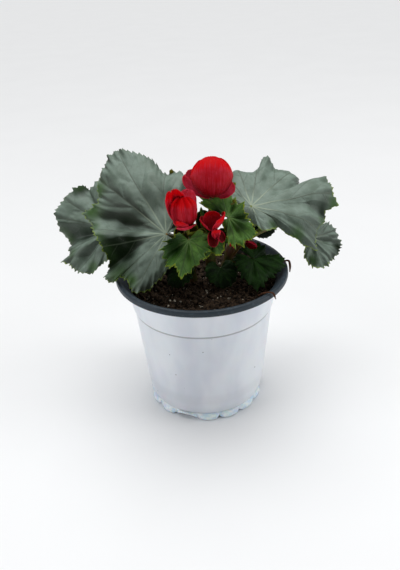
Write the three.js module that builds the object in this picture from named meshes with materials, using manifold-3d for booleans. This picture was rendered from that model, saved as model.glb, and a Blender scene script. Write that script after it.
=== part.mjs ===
// A potted begonia: plastic nursery pot, peat soil, succulent stems, eleven leaves and red blooms.
// Millimetres, +Z up. The origin is the centre of the pot's foot, on the surface that it stands on.
// -Y is the plant's front. Angles are in degrees.
import * as THREE from "three";
import { mergeVertices } from "three/addons/utils/BufferGeometryUtils.js";
import Module from "manifold-3d";

const wasm = await Module();
wasm.setup();

// ---------------------------------------------------------------- driving dimensions
// Pot: a 13 cm nursery pot with a turned-out lip, a band above a step line, and a lobed foot. Lobe 0 is
// the front one, and the drain lobes are raised to let water out.
const RIM_RADIUS = 65;
const RIM_HEIGHT = 111.3;
const LIP_WIDTH = 4;
const LIP_DEPTH = 4.6;
const FLARE_RADIUS = 58;
const GROOVE_RADIUS = 53.4;
const GROOVE_HEIGHT = 83;
const BASE_RADIUS = 44.6;
const BASE_HEIGHT = 6;
const WALL = 1.6;

const FOOT_WIDTH = 7;
const FOOT_LOBES = 16;
const DRAIN_LOBES = [4, 10, 15];
const DRAIN_TOP = 5.4;
const SCALLOP_RADIUS = 2.4;
const SCALLOP_DEPTH = 1.4;
const DRAIN_HOLES = 6;
const DRAIN_HOLE_RADIUS = 4;
const DRAIN_HOLE_CIRCLE = 28;

// Soil and what stands in it.
const SOIL_HEIGHT = 99;
const SOIL_RADIUS = 54.7;
const SOIL_BUMP = 1.2;
const ROOT_HEIGHT = 86;
const GAP = 0.3;

// A leaf's outer part rolls by its curl, from this share of its reach outwards.
const FLAT_SHARE = 0.62;
const BLADE_THICKNESS = 0.8;
const PETAL_THICKNESS = 0.7;

const ROUND = 42;
const FRONT = -90;

// ---------------------------------------------------------------- materials
const finish = (color, roughness) => new THREE.MeshStandardMaterial({ color, roughness, metalness: 0 });
const potPlastic = finish(0xd9dee4, 0.45);
const peat = finish(0x1c130b, 0.95);
const stemGreen = finish(0x5c6a22, 0.5);
const greyLeaf = finish(0x6d7f70, 0.45);
const greenLeaf = finish(0x3c5f2c, 0.45);
const darkLeaf = finish(0x1d3a18, 0.5);
const redPetal = finish(0xb3001a, 0.4);
const dryBrown = finish(0x4a2c1c, 0.9);

// ---------------------------------------------------------------- helpers
const vec = (point) => new THREE.Vector3(...point);
const radians = THREE.MathUtils.degToRad;

// A smooth curve through [x, y] keys that never overshoots them.
function smooth(keys, x) {
  const last = keys.length - 1;
  if (x <= keys[0][0]) {
    return keys[0][1];
  }
  if (x >= keys[last][0]) {
    return keys[last][1];
  }
  const slope = (i) => (keys[i + 1][1] - keys[i][1]) / (keys[i + 1][0] - keys[i][0]);
  const tangent = (i) => {
    if (i === 0 || i === last) {
      return slope(Math.min(i, last - 1));
    }
    const before = slope(i - 1);
    const after = slope(i);
    return before * after <= 0 ? 0 : (2 * before * after) / (before + after);
  };
  const i = keys.findIndex((key) => key[0] > x) - 1;
  const span = keys[i + 1][0] - keys[i][0];
  const t = (x - keys[i][0]) / span;
  const rise = 3 * t ** 2 - 2 * t ** 3;
  const leave = t ** 3 - 2 * t ** 2 + t;
  const arrive = t ** 3 - t ** 2;
  const between = (1 - rise) * keys[i][1] + rise * keys[i + 1][1];
  return between + span * (leave * tangent(i) + arrive * tangent(i + 1));
}

function solid(geometry) {
  const bare = geometry.clone();
  bare.deleteAttribute("normal");
  bare.deleteAttribute("uv");
  const merged = mergeVertices(bare, 1e-4);
  const vertProperties = new Float32Array(merged.attributes.position.array);
  const triVerts = new Uint32Array(merged.index.array);
  return new wasm.Manifold(new wasm.Mesh({ numProp: 3, vertProperties, triVerts }));
}

const fuse = (solids) => solids.reduce((sum, piece) => sum.add(piece));

function node(name, body, material) {
  const { vertProperties, triVerts } = body.getMesh();
  const geometry = new THREE.BufferGeometry();
  geometry.setAttribute("position", new THREE.BufferAttribute(vertProperties, 3));
  geometry.setIndex(new THREE.BufferAttribute(triVerts, 1));
  geometry.computeVertexNormals();
  const mesh = new THREE.Mesh(geometry, material);
  mesh.name = name;
  return mesh;
}

// A round rod along a smooth curve through the points, closed at both ends and grown by `extra`.
function rod({ points, radius, steps = 8, sides = 8 }, extra = 0) {
  const path = points.map(vec);
  const stretch = (end, next) => end.add(end.clone().sub(next).setLength(extra));
  stretch(path[0], path[1]);
  stretch(path.at(-1), path.at(-2));
  const circle = new THREE.Shape();
  circle.absarc(0, 0, radius + extra, 0, 2 * Math.PI);
  const section = new THREE.Shape(circle.getSpacedPoints(sides).slice(0, sides));
  const extrudePath = new THREE.CatmullRomCurve3(path);
  return solid(new THREE.ExtrudeGeometry(section, { steps, extrudePath, bevelEnabled: false }));
}

// A closed sheet. `rows` are rows of points on its upper face, each with as many cells as the one
// before or twice as many, or fanning out from a single point. Each point's `down` is the direction
// to the lower face.
function sheet(rows, thickness) {
  const upper = rows.flat();
  const below = upper.map((point) => point.clone().addScaledVector(point.down, thickness));
  const points = [...upper, ...below];
  const lower = upper.length;
  let count = 0;
  const index = rows.map((row) => row.map(() => count++));
  const faces = [];
  const both = (a, b, c) => faces.push([a, b, c], [c + lower, b + lower, a + lower]);
  for (let k = 0; k + 1 < rows.length; k += 1) {
    const inner = index[k];
    const outer = index[k + 1];
    const split = (outer.length - 1) / Math.max(1, inner.length - 1);
    for (let j = 0; j + 1 < outer.length; j += 1) {
      const near = inner.length === 1 ? 0 : Math.ceil(j / split);
      both(inner[near], outer[j], outer[j + 1]);
      if (inner.length > 1 && j % split === 0) {
        both(inner[near], outer[j + 1], inner[near + 1]);
      }
    }
  }
  const side = index.slice(1, -1);
  const foot = index[0].length === 1 ? index[0] : [...index[0]].reverse();
  const far = side.map((row) => row.at(-1)).reverse();
  const rim = [...side.map((row) => row[0]), ...index.at(-1), ...far, ...foot];
  rim.forEach((a, i) => {
    const b = rim[(i + 1) % rim.length];
    faces.push([b, a, a + lower], [b, a + lower, b + lower]);
  });
  const geometry = new THREE.BufferGeometry().setFromPoints(points);
  geometry.setIndex(faces.flat());
  return solid(geometry);
}

// ---------------------------------------------------------------- leaves
// A leaf is a blade about the joint of its stalk, `at`. `face` is the way it looks. Seen so, angle 0
// is its right and 90 its top. The tables give by angle the reach to the margin, how far the margin
// is lifted out of the face, and how far the outer part rolls. `folds` are [angle, depth, width]
// valleys, and `stalk` runs from a stem to the blade. `cells` and `rows` divide the blade.
const LEAVES = {
  leaf_left_front: {
    at: [-24, -14, 146], face: [-0.25, -0.72, 0.65], finish: greyLeaf, cells: 60, rows: 5, tooth: 1.4,
    margin: [
      [30, 7], [58, 10], [77, 32], [86, 52], [94, 56], [105, 52], [114, 65], [124, 76], [131, 83],
      [144, 76], [152, 71], [162, 63], [171, 72], [178, 61], [194, 50], [205, 49], [217, 58],
      [227, 53], [229, 45], [238, 44], [248, 48], [259, 44], [271, 34], [286, 24], [310, 21], [330, 12],
    ],
    lift: [
      [40, -4], [80, -4], [125, 0], [150, 0], [168, 4], [185, 5], [205, -2], [222, -4], [240, 3],
      [270, 1], [300, -3],
    ],
    curl: [
      [40, -50], [75, -70], [95, -60], [115, -25], [150, -10], [172, -30], [200, 10], [215, -20],
      [300, -20],
    ],
    folds: [[186, 4.5, 9], [213, 3, 8], [150, -1.5, 14]],
    stalk: { points: [[-9, -2, 124], [-15, -2, 135], [-22, -8, 142]], radius: 2.2 },
  },
  leaf_left_back: {
    at: [-68, 26, 135], face: [-0.35, -0.75, 0.56], finish: greyLeaf, cells: 44, rows: 4, tooth: 1.3,
    margin: [
      [60, 12], [90, 25], [121, 47], [137, 45], [142, 55], [153, 51], [177, 52], [182, 48], [190, 53],
      [203, 48], [216, 45], [218, 52], [224, 48], [240, 44], [256, 38], [268, 27], [300, 20], [330, 10],
    ],
    lift: [[75, 0], [140, 0], [160, 3], [180, 3], [195, -6], [215, -3], [240, 0]],
    curl: [[75, 0], [110, -20], [138, -45], [155, -10], [180, 0], [194, -30], [215, -20], [240, 0]],
    folds: [[196, 3, 9]],
    stalk: { points: [[-8, 0, 112], [-24, 8, 125], [-46, 19, 133], [-62, 29, 132]], radius: 2.2 },
  },
  leaf_right_front: {
    at: [38, 4, 157], face: [0.12, -0.42, 0.9], finish: greyLeaf, cells: 64, rows: 5, tooth: 0.9,
    margin: [
      [-247, 19], [-234, 19], [-205, 10], [-161, 8], [-112, 11], [-73, 23], [-46, 24], [-42, 40],
      [-38, 57], [-34, 54], [-26, 53], [-16, 59], [-6, 61], [-4, 71], [2, 67], [16, 70], [20, 50],
      [25, 58], [34, 67], [40, 67], [52, 55], [57, 55], [60, 59], [63, 47], [76, 48], [85, 52],
      [92, 48], [101, 35], [110, 20],
    ],
    lift: [
      [-230, 0], [-150, -2], [-120, -4], [-60, -3], [-44, -7], [-38, -17], [-31, -12], [-20, -5],
      [-6, -2], [2, 3], [14, 4], [20, -3], [30, -2], [40, -2], [56, 4], [72, -2], [90, -4],
    ],
    curl: [
      [-230, 0], [-150, -20], [-110, -20], [-70, 10], [-45, -30], [-20, -30], [-6, -10], [5, -10],
      [16, -15], [28, -55], [45, -60], [57, -20], [70, -65], [90, -70], [104, -25], [110, 0],
    ],
    folds: [[-15, 2, 10]],
    stalk: { points: [[25, 8, 131], [29, 8, 141], [36, 7, 150]], radius: 2.4 },
  },
  leaf_right_back: {
    at: [86, 14, 124], face: [0.35, -0.75, 0.56], finish: greyLeaf, cells: 28, rows: 4, tooth: 1.1,
    margin: [
      [-200, 9], [-150, 12], [-129, 21], [-92, 24], [-68, 23], [-34, 27], [-19, 31], [-4, 28], [22, 25],
      [38, 14], [68, 8], [110, 8],
    ],
    lift: [[-110, 3], [-60, 0], [-20, -3], [20, -3], [60, 0], [100, 2]],
    curl: [[-110, 0], [-40, -10], [0, -25], [40, -20], [100, 0]],
    folds: [],
    stalk: {
      points: [[20, 7, 114], [32, 8, 126.5], [48, 12, 134.5], [66, 18, 136], [80, 21, 129], [84, 18, 122]],
      radius: 2.3,
      steps: 14,
    },
  },
  leaf_right_small: {
    at: [45, 19, 135], face: [0.3, -0.7, 0.6], finish: darkLeaf, cells: 20, rows: 3, tooth: 1.4,
    margin: [[-170, 7], [-130, 9], [-90, 10], [-50, 13], [-15, 16], [10, 14], [50, 10], [100, 7]],
    lift: [[-120, 0], [-40, -2], [60, 1]],
    curl: [[0, -10]],
    folds: [],
    stalk: { points: [[24, 8, 128], [27, 15, 134], [34, 20, 135], [42, 21, 133]], radius: 1.4, sides: 6 },
  },
  leaf_centre: {
    at: [20, -20, 159], face: [0.1, -0.6, 0.8], finish: greenLeaf, cells: 28, rows: 4, tooth: 1.1,
    margin: [
      [-150, 6], [-115, 9], [-96, 20], [-55, 21], [-40, 23], [-22, 17], [-5, 14], [22, 14], [50, 14],
      [85, 22], [126, 25], [143, 22], [155, 10],
    ],
    lift: [[-90, -2], [-50, -4], [-20, -2], [20, 0], [60, 2], [110, 3], [150, 2]],
    curl: [[-90, 0], [-30, -10], [0, 30], [30, 0], [80, -25], [120, -35], [150, 0]],
    folds: [],
    stalk: { points: [[7, -5, 145], [13, -9, 151], [19, -16, 155]], radius: 1.5, sides: 6 },
  },
  leaf_low_front: {
    at: [-8, -32, 149], face: [-0.1, -0.85, 0.5], finish: greenLeaf, cells: 28, rows: 4, tooth: 1.1,
    margin: [
      [-219, 9], [-191, 12], [-163, 21], [-144, 23], [-125, 24], [-119, 21], [-109, 21], [-102, 26],
      [-79, 20], [-49, 17], [22, 13], [51, 8],
    ],
    lift: [[-190, -4], [-160, -8], [-135, -6], [-118, 3], [-90, 0], [-40, -1], [45, 0]],
    curl: [[-190, 0], [-150, -20], [-118, 10], [-90, 0], [-50, -15], [45, 0]],
    folds: [],
    stalk: { points: [[-9, -4, 136], [-9, -16, 141], [-8, -26, 146]], radius: 1.6, sides: 6 },
  },
  leaf_small_front: {
    at: [9, -26, 145], face: [0.05, -0.8, 0.6], finish: greenLeaf, cells: 20, rows: 3, tooth: 0.9,
    margin: [[-193, 5], [-151, 6], [-119, 14], [-105, 9], [-78, 12], [-50, 10], [12, 6]],
    lift: [[-190, -2], [-120, -3], [-90, 2], [-50, -1], [20, 0]],
    curl: [[0, 0]],
    folds: [],
    stalk: { points: [[7, -2, 131], [8, -12, 137], [9, -21, 142]], radius: 1.2, sides: 6 },
  },
  leaf_right_low: {
    at: [38, -12, 122], face: [0.05, -0.55, 0.83], finish: darkLeaf, cells: 32, rows: 4, tooth: 1.2,
    margin: [
      [-207, 14], [-151, 15], [-115, 19], [-89, 23], [-60, 19], [-42, 20], [-13, 24], [5, 20], [31, 14],
      [64, 17], [79, 16], [130, 13],
    ],
    lift: [[-200, -1], [-90, -1], [-30, 0], [20, 0], [90, -1]],
    curl: [[-200, -10], [-120, -20], [-60, -15], [0, -25], [60, -15], [130, -10]],
    folds: [],
    stalk: { points: [[18, 7, 106], [26, 2, 114], [36, -6, 117]], radius: 1.6, sides: 6 },
  },
  leaf_shade_left: {
    at: [-14, -9, 117], face: [-0.3, -0.6, 0.7], finish: darkLeaf, cells: 20, rows: 3, tooth: 1.2,
    margin: [[-240, 9], [-190, 13], [-150, 15], [-100, 17], [-60, 14], [-20, 11], [40, 8]],
    lift: [[-150, -2], [-60, 1]],
    curl: [[0, -15]],
    folds: [],
    stalk: { points: [[-7, 1, 103], [-11, -1, 110], [-13, -5, 114]], radius: 1.3, sides: 6 },
  },
  leaf_shade_right: {
    at: [14, -8, 114], face: [0.1, -0.6, 0.75], finish: darkLeaf, cells: 20, rows: 3, tooth: 1.2,
    margin: [[-230, 8], [-180, 12], [-130, 14], [-90, 16], [-50, 15], [0, 12], [50, 8]],
    lift: [[-150, 1], [-60, -2], [0, 1]],
    curl: [[0, -15]],
    folds: [],
    stalk: { points: [[6, 2, 101], [9, 0, 108], [13, -5, 111]], radius: 1.3, sides: 6 },
  },
};

function faceFrame(face) {
  const normal = vec(face).normalize();
  const right = new THREE.Vector3(0, 0, 1).cross(normal).normalize();
  return { normal, right, up: normal.clone().cross(right) };
}

// Angles that step evenly along the margin.
function marginAngles(leaf) {
  const fine = 720;
  const first = leaf.margin[0][0];
  const sweep = leaf.margin.at(-1)[0] - first;
  const angles = Array.from({ length: fine + 1 }, (_, i) => first + (sweep * i) / fine);
  const outline = angles.map((angle) => {
    const reach = smooth(leaf.margin, angle);
    return new THREE.Vector2(reach * Math.cos(radians(angle)), reach * Math.sin(radians(angle)));
  });
  const run = [0];
  for (let i = 1; i <= fine; i += 1) {
    run.push(run[i - 1] + outline[i].distanceTo(outline[i - 1]));
  }
  return Array.from({ length: leaf.cells + 1 }, (_, j) => {
    const along = (run[fine] * j) / leaf.cells;
    const i = Math.max(1, run.findIndex((length) => length >= along - 1e-9));
    const part = (along - run[i - 1]) / (run[i] - run[i - 1]);
    return angles[i - 1] + (angles[i] - angles[i - 1]) * part;
  });
}

// The blade's upper face at an angle and a share of the reach.
function leafPoint(leaf, frame, angle, share, tooth) {
  const reach = smooth(leaf.margin, angle) + tooth;
  const curl = radians(smooth(leaf.curl, angle)) || 1e-6;
  const rolling = (1 - FLAT_SHARE) * reach;
  const turned = curl * Math.max(0, (share - FLAT_SHARE) / (1 - FLAT_SHARE));
  const out = Math.min(share, FLAT_SHARE) * reach + (rolling * Math.sin(turned)) / curl;
  const hollow = Math.sin(Math.PI * share ** 0.8);
  const valley = leaf.folds.reduce((sum, [at, depth, width]) => {
    return sum + depth * Math.exp(-(((angle - at) / width) ** 2)) * hollow;
  }, 0);
  const rolled = (rolling * (1 - Math.cos(turned))) / curl;
  return vec(leaf.at)
    .addScaledVector(frame.right, out * Math.cos(radians(angle)))
    .addScaledVector(frame.up, out * Math.sin(radians(angle)))
    .addScaledVector(frame.normal, rolled + smooth(leaf.lift, angle) * share ** 2 - valley);
}

// The inner rows have fewer points, and every second point of the margin is a tooth.
function leafBody(leaf, clearance) {
  const frame = faceFrame(leaf.face);
  const angles = marginAngles(leaf);
  const centre = vec(leaf.at);
  centre.down = frame.normal.clone().negate();
  const rows = [[centre]];
  for (let k = 1; k <= leaf.rows; k += 1) {
    const skip = [4, 2][k - 1] ?? 1;
    const share = k / leaf.rows;
    const depth = k === leaf.rows ? leaf.tooth / 2 : 0;
    const kept = angles.filter((_, j) => j % skip === 0);
    rows.push(kept.map((angle, j) => {
      const tooth = j % 2 ? depth : -depth;
      const point = leafPoint(leaf, frame, angle, share, tooth);
      const along = leafPoint(leaf, frame, angle + 0.5, share, tooth).sub(point);
      const outward = leafPoint(leaf, frame, angle, share * 0.99, tooth).sub(point).negate();
      point.down = along.cross(outward).normalize();
      return point;
    }));
  }
  const joint = vec(leaf.at).addScaledVector(frame.normal, 0.5).toArray();
  const stalk = rod({ ...leaf.stalk, points: [...leaf.stalk.points, joint] });
  return sheet(rows, BLADE_THICKNESS).add(stalk).subtract(clearance);
}

// ---------------------------------------------------------------- stems and flower stalks
// Each stem is fused with the flower stalks that branch off it.
const STEMS = {
  stem_left: [
    { points: [[-5, 3, ROOT_HEIGHT], [-8, 1, 112], [-9, -4, 136], [-9, -12, 146]], radius: 3.4 },
    { points: [[-9, -10, 144], [-9.4, -19, 147], [-10, -26, 154]], radius: 1.5, sides: 6 },
  ],
  stem_centre: [
    { points: [[6, 4, ROOT_HEIGHT], [7, 1, 115], [7, -4, 142], [7.4, -8, 156]], radius: 3.6 },
    { points: [[7.4, -7, 152], [8, -10, 162], [8.5, -12, 170.5]], radius: 1.5, sides: 6 },
    { points: [[7, -6, 146], [8, -16, 146], [8.6, -27, 152.5]], radius: 1.4, sides: 6 },
  ],
  stem_right: [
    { points: [[15, 8, ROOT_HEIGHT], [20, 7, 112], [26, 8, 136]], radius: 3.4 },
    { points: [[25, 8, 131], [29, 2, 134], [32, -8, 133.5]], radius: 1.2, sides: 6, steps: 5 },
  ],
};
const stemBody = (rods, extra) => fuse(rods.map((part) => rod(part, extra)));

// Dry brown flower debris, draped over the pot's lip.
const DEBRIS = {
  dry_stalk: {
    points: [
      [53.2, 1, 101.6], [54.7, 0.5, 107], [57.2, 0, 111.2], [62.5, 0, 113.1], [66, 1, 112.5],
      [67.3, 2, 108], [67.5, 3, 102],
    ],
    radius: 0.8,
    sides: 5,
  },
  dry_sliver: {
    points: [[38.5, -41.5, 108.5], [43, -44.6, 112.2], [48, -45.3, 112], [50.2, -45, 107]],
    radius: 0.6,
    sides: 5,
  },
};

// ---------------------------------------------------------------- blooms
// A petal starts at the bloom's base, heading `open` degrees out from its axis towards `turn`, and
// bends back inwards by `bend` along its length, with its sides cupped by `cup` across. Its axis is
// the bloom's, or a `lean` of its own. `round` makes its tip blunter.
const BLOOMS = {
  flower_top: {
    base: [9.6, -12, 171.3], axis: [0, 0.03, 1], core: 3.8,
    petals: [
      { turn: FRONT, open: 80, length: 42, width: 54, bend: 170, cup: 214, round: 2.5, rows: 8, cells: 8 },
      {
        turn: 90, open: 34, length: 26, width: 17, bend: 50, cup: 90, lean: [-0.74, 0.16, 0.66], round: 2.6,
      },
      { turn: 90, open: 18, length: 18, width: 14, bend: 40, cup: 90, lean: [0.8, 0, 0.55], round: 2.6 },
      { turn: 52, open: 72, length: 30, width: 26, bend: 124, cup: 108, round: 2.6 },
      { turn: 128, open: 72, length: 30, width: 26, bend: 124, cup: 108, round: 2.6 },
      { turn: 20, open: 28, length: 20, width: 11, bend: 50, cup: 60, cells: 2 },
      { turn: 140, open: 28, length: 20, width: 11, bend: 50, cup: 60, cells: 2 },
      { turn: 260, open: 28, length: 20, width: 11, bend: 50, cup: 60, cells: 2 },
    ],
  },
  flower_left: {
    base: [-10, -27, 155], axis: [-0.05, 0.02, 1], core: 3,
    petals: [
      { turn: 276, open: 60, length: 30, width: 23, bend: 84, cup: 130, round: 2.2, rows: 6, cells: 6 },
      {
        turn: 100, open: 12, length: 37, width: 18, bend: 62, cup: 125, lean: [-0.28, 0, 1], round: 2.2,
        rows: 6, cells: 5,
      },
      { turn: 66, open: 16, length: 28, width: 16, bend: 30, cup: 85, lean: [0.14, 0.12, 1], round: 2.2 },
      { turn: 238, open: 84, length: 13, width: 13, bend: 88, cup: 80, cells: 2 },
      { turn: 290, open: 98, length: 9, width: 16, bend: 75, cup: 80 },
    ],
  },
  flower_right: {
    base: [8.6, -28, 153.5], axis: [0.02, -0.06, 1], core: 2.8,
    petals: [
      { turn: 180, open: 75, length: 13, width: 15, bend: 60, cup: 90, round: 3 },
      { turn: -20, open: 66, length: 16, width: 19, bend: 66, cup: 90, round: 3 },
      { turn: 95, open: 45, length: 14, width: 14, bend: 60, cup: 70 },
      { turn: FRONT, open: 115, length: 12, width: 9, bend: -45, cup: 110 },
      { turn: -35, open: 105, length: 11, width: 9, bend: -50, cup: 60, cells: 2 },
    ],
  },
  flower_bud_low: {
    base: [32.5, -9.5, 133.5], axis: [0.8, -0.6, 0.05], core: 2,
    petals: [
      { turn: FRONT, open: 60, length: 11, width: 11, bend: 115, cup: 120 },
      { turn: 90, open: 60, length: 11, width: 11, bend: 115, cup: 120 },
    ],
  },
};

// A petal's half width along its length, from a narrow foot to a round tip.
function petalWidth(share, round) {
  const widest = 0.55;
  const foot = 0.25;
  if (share < widest) {
    return foot + (1 - foot) * Math.sin((Math.PI / 2) * (share / widest));
  }
  return (1 - ((share - widest) / (1 - widest)) ** round) ** (1 / round);
}

// A point on the petal's outer face, with the direction down to its inner face.
function petalPoint({ open, length, width, bend, cup, round = 2 }, share, side) {
  const heading = radians(open - bend * share);
  const start = radians(open);
  const spine = length / radians(bend);
  const roll = side * radians(cup / 2) * petalWidth(share, round);
  const across = width / radians(cup);
  const sink = across * (1 - Math.cos(roll));
  const point = new THREE.Vector3(
    spine * (Math.cos(heading) - Math.cos(start)) - sink * Math.cos(heading),
    across * Math.sin(roll),
    spine * (Math.sin(start) - Math.sin(heading)) + sink * Math.sin(heading),
  );
  point.down = new THREE.Vector3(
    -Math.cos(heading) * Math.cos(roll), -Math.sin(roll), Math.sin(heading) * Math.cos(roll),
  );
  return point;
}

// The turn and shift that stand a shape on an axis of its own.
function standing(axis, base) {
  const upright = new THREE.Vector3(0, 0, 1);
  const tilt = new THREE.Quaternion().setFromUnitVectors(upright, vec(axis).normalize());
  return new THREE.Matrix4().makeRotationFromQuaternion(tilt).setPosition(...base);
}

function petalBody(petal, axis, base) {
  const { rows = 4, cells = 3 } = petal;
  const tip = 0.97;
  const sides = Array.from({ length: cells + 1 }, (_, i) => 1 - (2 * i) / cells);
  const shares = Array.from({ length: rows + 1 }, (_, i) => tip * Math.sin((Math.PI / 2) * (i / rows)));
  const grid = shares.map((share) => sides.map((side) => petalPoint(petal, share, side)));
  const turned = new THREE.Matrix4().makeRotationZ(radians(petal.turn));
  const place = standing(petal.lean ?? axis, base).multiply(turned);
  return sheet(grid, PETAL_THICKNESS).transform(place.toArray());
}

function bloomBody({ base, axis, core, petals }, clearance) {
  const ball = new THREE.SphereGeometry(core, 8, 6).translate(0, 0, core * 0.6);
  const heart = solid(ball).transform(standing(axis, base).toArray());
  return fuse([heart, ...petals.map((petal) => petalBody(petal, axis, base))]).subtract(clearance);
}

// ---------------------------------------------------------------- pot and soil
function turn(profile) {
  const points = profile.map(([radius, height]) => new THREE.Vector2(radius, height));
  return new THREE.LatheGeometry(points, ROUND).rotateX(Math.PI / 2);
}

// A rod that lies along a radius of the pot at an angle, centred at the given radius and height.
function spoke(radius, length, angle, centre, height) {
  const geometry = new THREE.CylinderGeometry(radius, radius, length, 8);
  return solid(geometry.rotateZ(Math.PI / 2).translate(centre, 0, height).rotateZ(radians(angle)));
}

function footBody() {
  const inner = BASE_RADIUS - FOOT_WIDTH;
  const outer = BASE_RADIUS - 0.4;
  const middle = (inner + outer) / 2;
  const ring = solid(turn([
    [inner, 0], [outer - 1.6, 0], [outer - 0.4, 0.8], [outer, 2.4], [outer, BASE_HEIGHT + 0.4],
    [inner, BASE_HEIGHT + 0.4], [inner, 0],
  ]));
  const lobe = 360 / FOOT_LOBES;
  const halfLobe = middle * Math.sin(radians(lobe / 2));
  const across = 2 * FOOT_WIDTH;
  const cuts = [];
  for (let k = 0; k < FOOT_LOBES; k += 1) {
    const between = FRONT + lobe * (k + 0.5);
    cuts.push(spoke(SCALLOP_RADIUS, across, between, middle, SCALLOP_DEPTH - SCALLOP_RADIUS));
    if (DRAIN_LOBES.includes(k)) {
      cuts.push(spoke(halfLobe, across, FRONT + lobe * k, middle, DRAIN_TOP - halfLobe));
    }
  }
  return ring.subtract(fuse(cuts));
}

function potBody() {
  const underLip = RIM_HEIGHT - LIP_DEPTH;
  const shell = solid(turn([
    [0, BASE_HEIGHT], [BASE_RADIUS - 1, BASE_HEIGHT], [BASE_RADIUS, BASE_HEIGHT + 0.8],
    [BASE_RADIUS + 1.8, BASE_HEIGHT + 7], [GROOVE_RADIUS - 0.5, GROOVE_HEIGHT - 1.6],
    [GROOVE_RADIUS - 0.6, GROOVE_HEIGHT], [GROOVE_RADIUS + 0.6, GROOVE_HEIGHT + 1.2],
    [FLARE_RADIUS, underLip - 1], [RIM_RADIUS - 0.7, underLip], [RIM_RADIUS, underLip + 1],
    [RIM_RADIUS - 0.5, RIM_HEIGHT - 0.4], [RIM_RADIUS - 1.6, RIM_HEIGHT],
    [RIM_RADIUS - LIP_WIDTH, RIM_HEIGHT - 0.8], [FLARE_RADIUS - WALL, underLip - 1],
    [GROOVE_RADIUS - WALL, GROOVE_HEIGHT], [BASE_RADIUS - WALL, BASE_HEIGHT + WALL],
    [0, BASE_HEIGHT + WALL],
  ]));
  const holes = Array.from({ length: DRAIN_HOLES }, (_, k) => {
    const hole = new THREE.CylinderGeometry(DRAIN_HOLE_RADIUS, DRAIN_HOLE_RADIUS, 4 * WALL, 8);
    hole.rotateX(Math.PI / 2).translate(DRAIN_HOLE_CIRCLE, 0, BASE_HEIGHT);
    return solid(hole.rotateZ((2 * Math.PI * k) / DRAIN_HOLES));
  });
  return shell.add(footBody()).subtract(fuse(holes));
}

// The soil's top is bumpy, and falls level where it meets the wall.
function soilBody(clearance) {
  const bottom = BASE_HEIGHT + WALL + GAP;
  const edge = SOIL_RADIUS;
  const geometry = turn([
    [0, bottom], [BASE_RADIUS - WALL - GAP, bottom], [GROOVE_RADIUS - WALL - GAP, GROOVE_HEIGHT],
    [edge, SOIL_HEIGHT], [edge * 0.88, SOIL_HEIGHT], [edge * 0.7, SOIL_HEIGHT], [edge * 0.5, SOIL_HEIGHT],
    [edge * 0.28, SOIL_HEIGHT], [0, SOIL_HEIGHT],
  ]);
  const { position } = geometry.attributes;
  for (let i = 0; i < position.count; i += 1) {
    const [x, y, z] = [position.getX(i), position.getY(i), position.getZ(i)];
    const inside = Math.min(1, Math.max(0, (edge - Math.hypot(x, y)) / 6));
    const bump = Math.sin(0.23 * x + 1) * Math.cos(0.19 * y) + 0.6 * Math.sin(0.41 * x - 0.37 * y);
    if (z > SOIL_HEIGHT - 0.1) {
      position.setZ(i, z + SOIL_BUMP * bump * inside);
    }
  }
  return solid(geometry).subtract(clearance);
}

// ---------------------------------------------------------------- the potted plant
const clearance = fuse(Object.values(STEMS).map((rods) => stemBody(rods, GAP)));
const plant = new THREE.Group();
plant.add(node("pot", potBody(), potPlastic));
plant.add(node("soil", soilBody(clearance), peat));
for (const [name, rods] of Object.entries(STEMS)) {
  plant.add(node(name, stemBody(rods, 0), stemGreen));
}
for (const [name, leaf] of Object.entries(LEAVES)) {
  plant.add(node(name, leafBody(leaf, clearance), leaf.finish));
}
for (const [name, bloom] of Object.entries(BLOOMS)) {
  plant.add(node(name, bloomBody(bloom, clearance), redPetal));
}
for (const [name, debris] of Object.entries(DEBRIS)) {
  plant.add(node(name, rod(debris), dryBrown));
}

export default plant;
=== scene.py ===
"""Looks for a potted begonia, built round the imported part. Lengths are millimetres and angles degrees."""

import math

import bmesh
import bpy
import numpy as np
from mathutils import Matrix, Vector, noise


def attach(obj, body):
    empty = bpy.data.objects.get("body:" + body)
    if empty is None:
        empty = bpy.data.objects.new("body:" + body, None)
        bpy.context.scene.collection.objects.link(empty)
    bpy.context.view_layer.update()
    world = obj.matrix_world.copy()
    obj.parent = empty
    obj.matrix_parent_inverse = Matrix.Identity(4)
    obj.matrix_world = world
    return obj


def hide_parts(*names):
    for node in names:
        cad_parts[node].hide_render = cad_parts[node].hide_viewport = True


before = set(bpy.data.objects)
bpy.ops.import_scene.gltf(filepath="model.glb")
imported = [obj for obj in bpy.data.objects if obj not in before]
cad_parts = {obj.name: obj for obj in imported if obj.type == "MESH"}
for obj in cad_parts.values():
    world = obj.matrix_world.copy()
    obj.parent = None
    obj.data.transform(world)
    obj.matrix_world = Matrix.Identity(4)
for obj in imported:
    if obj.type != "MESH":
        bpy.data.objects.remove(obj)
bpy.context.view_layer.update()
RANDOM = np.random.default_rng(11)
MM = 0.001

# -------- sizes shared with the solids
RIM_RADIUS = 65
RIM_HEIGHT = 111.3
LIP_WIDTH = 4
LIP_DEPTH = 4.6
FLARE_RADIUS = 58
GROOVE_RADIUS = 53.4
GROOVE_HEIGHT = 83
BASE_RADIUS = 44.6
BASE_HEIGHT = 6
WALL = 1.6
FOOT_WIDTH = 7
FOOT_LOBES = 16
DRAIN_LOBES = (4, 10, 15)
DRAIN_TOP = 5.4
SCALLOP_RADIUS = 2.4
SCALLOP_DEPTH = 1.4
SOIL_HEIGHT = 99
SOIL_RADIUS = 54.7
SOIL_BUMP = 1.2
ROOT_HEIGHT = 86
FLAT_SHARE = 0.62  # of a leaf's reach, before the blade starts to roll
WIDEST_SHARE = 0.55  # of a petal's length, where it is widest
PETAL_FOOT = 0.25  # of a petal's width, left at its foot
FRONT = -90

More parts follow.
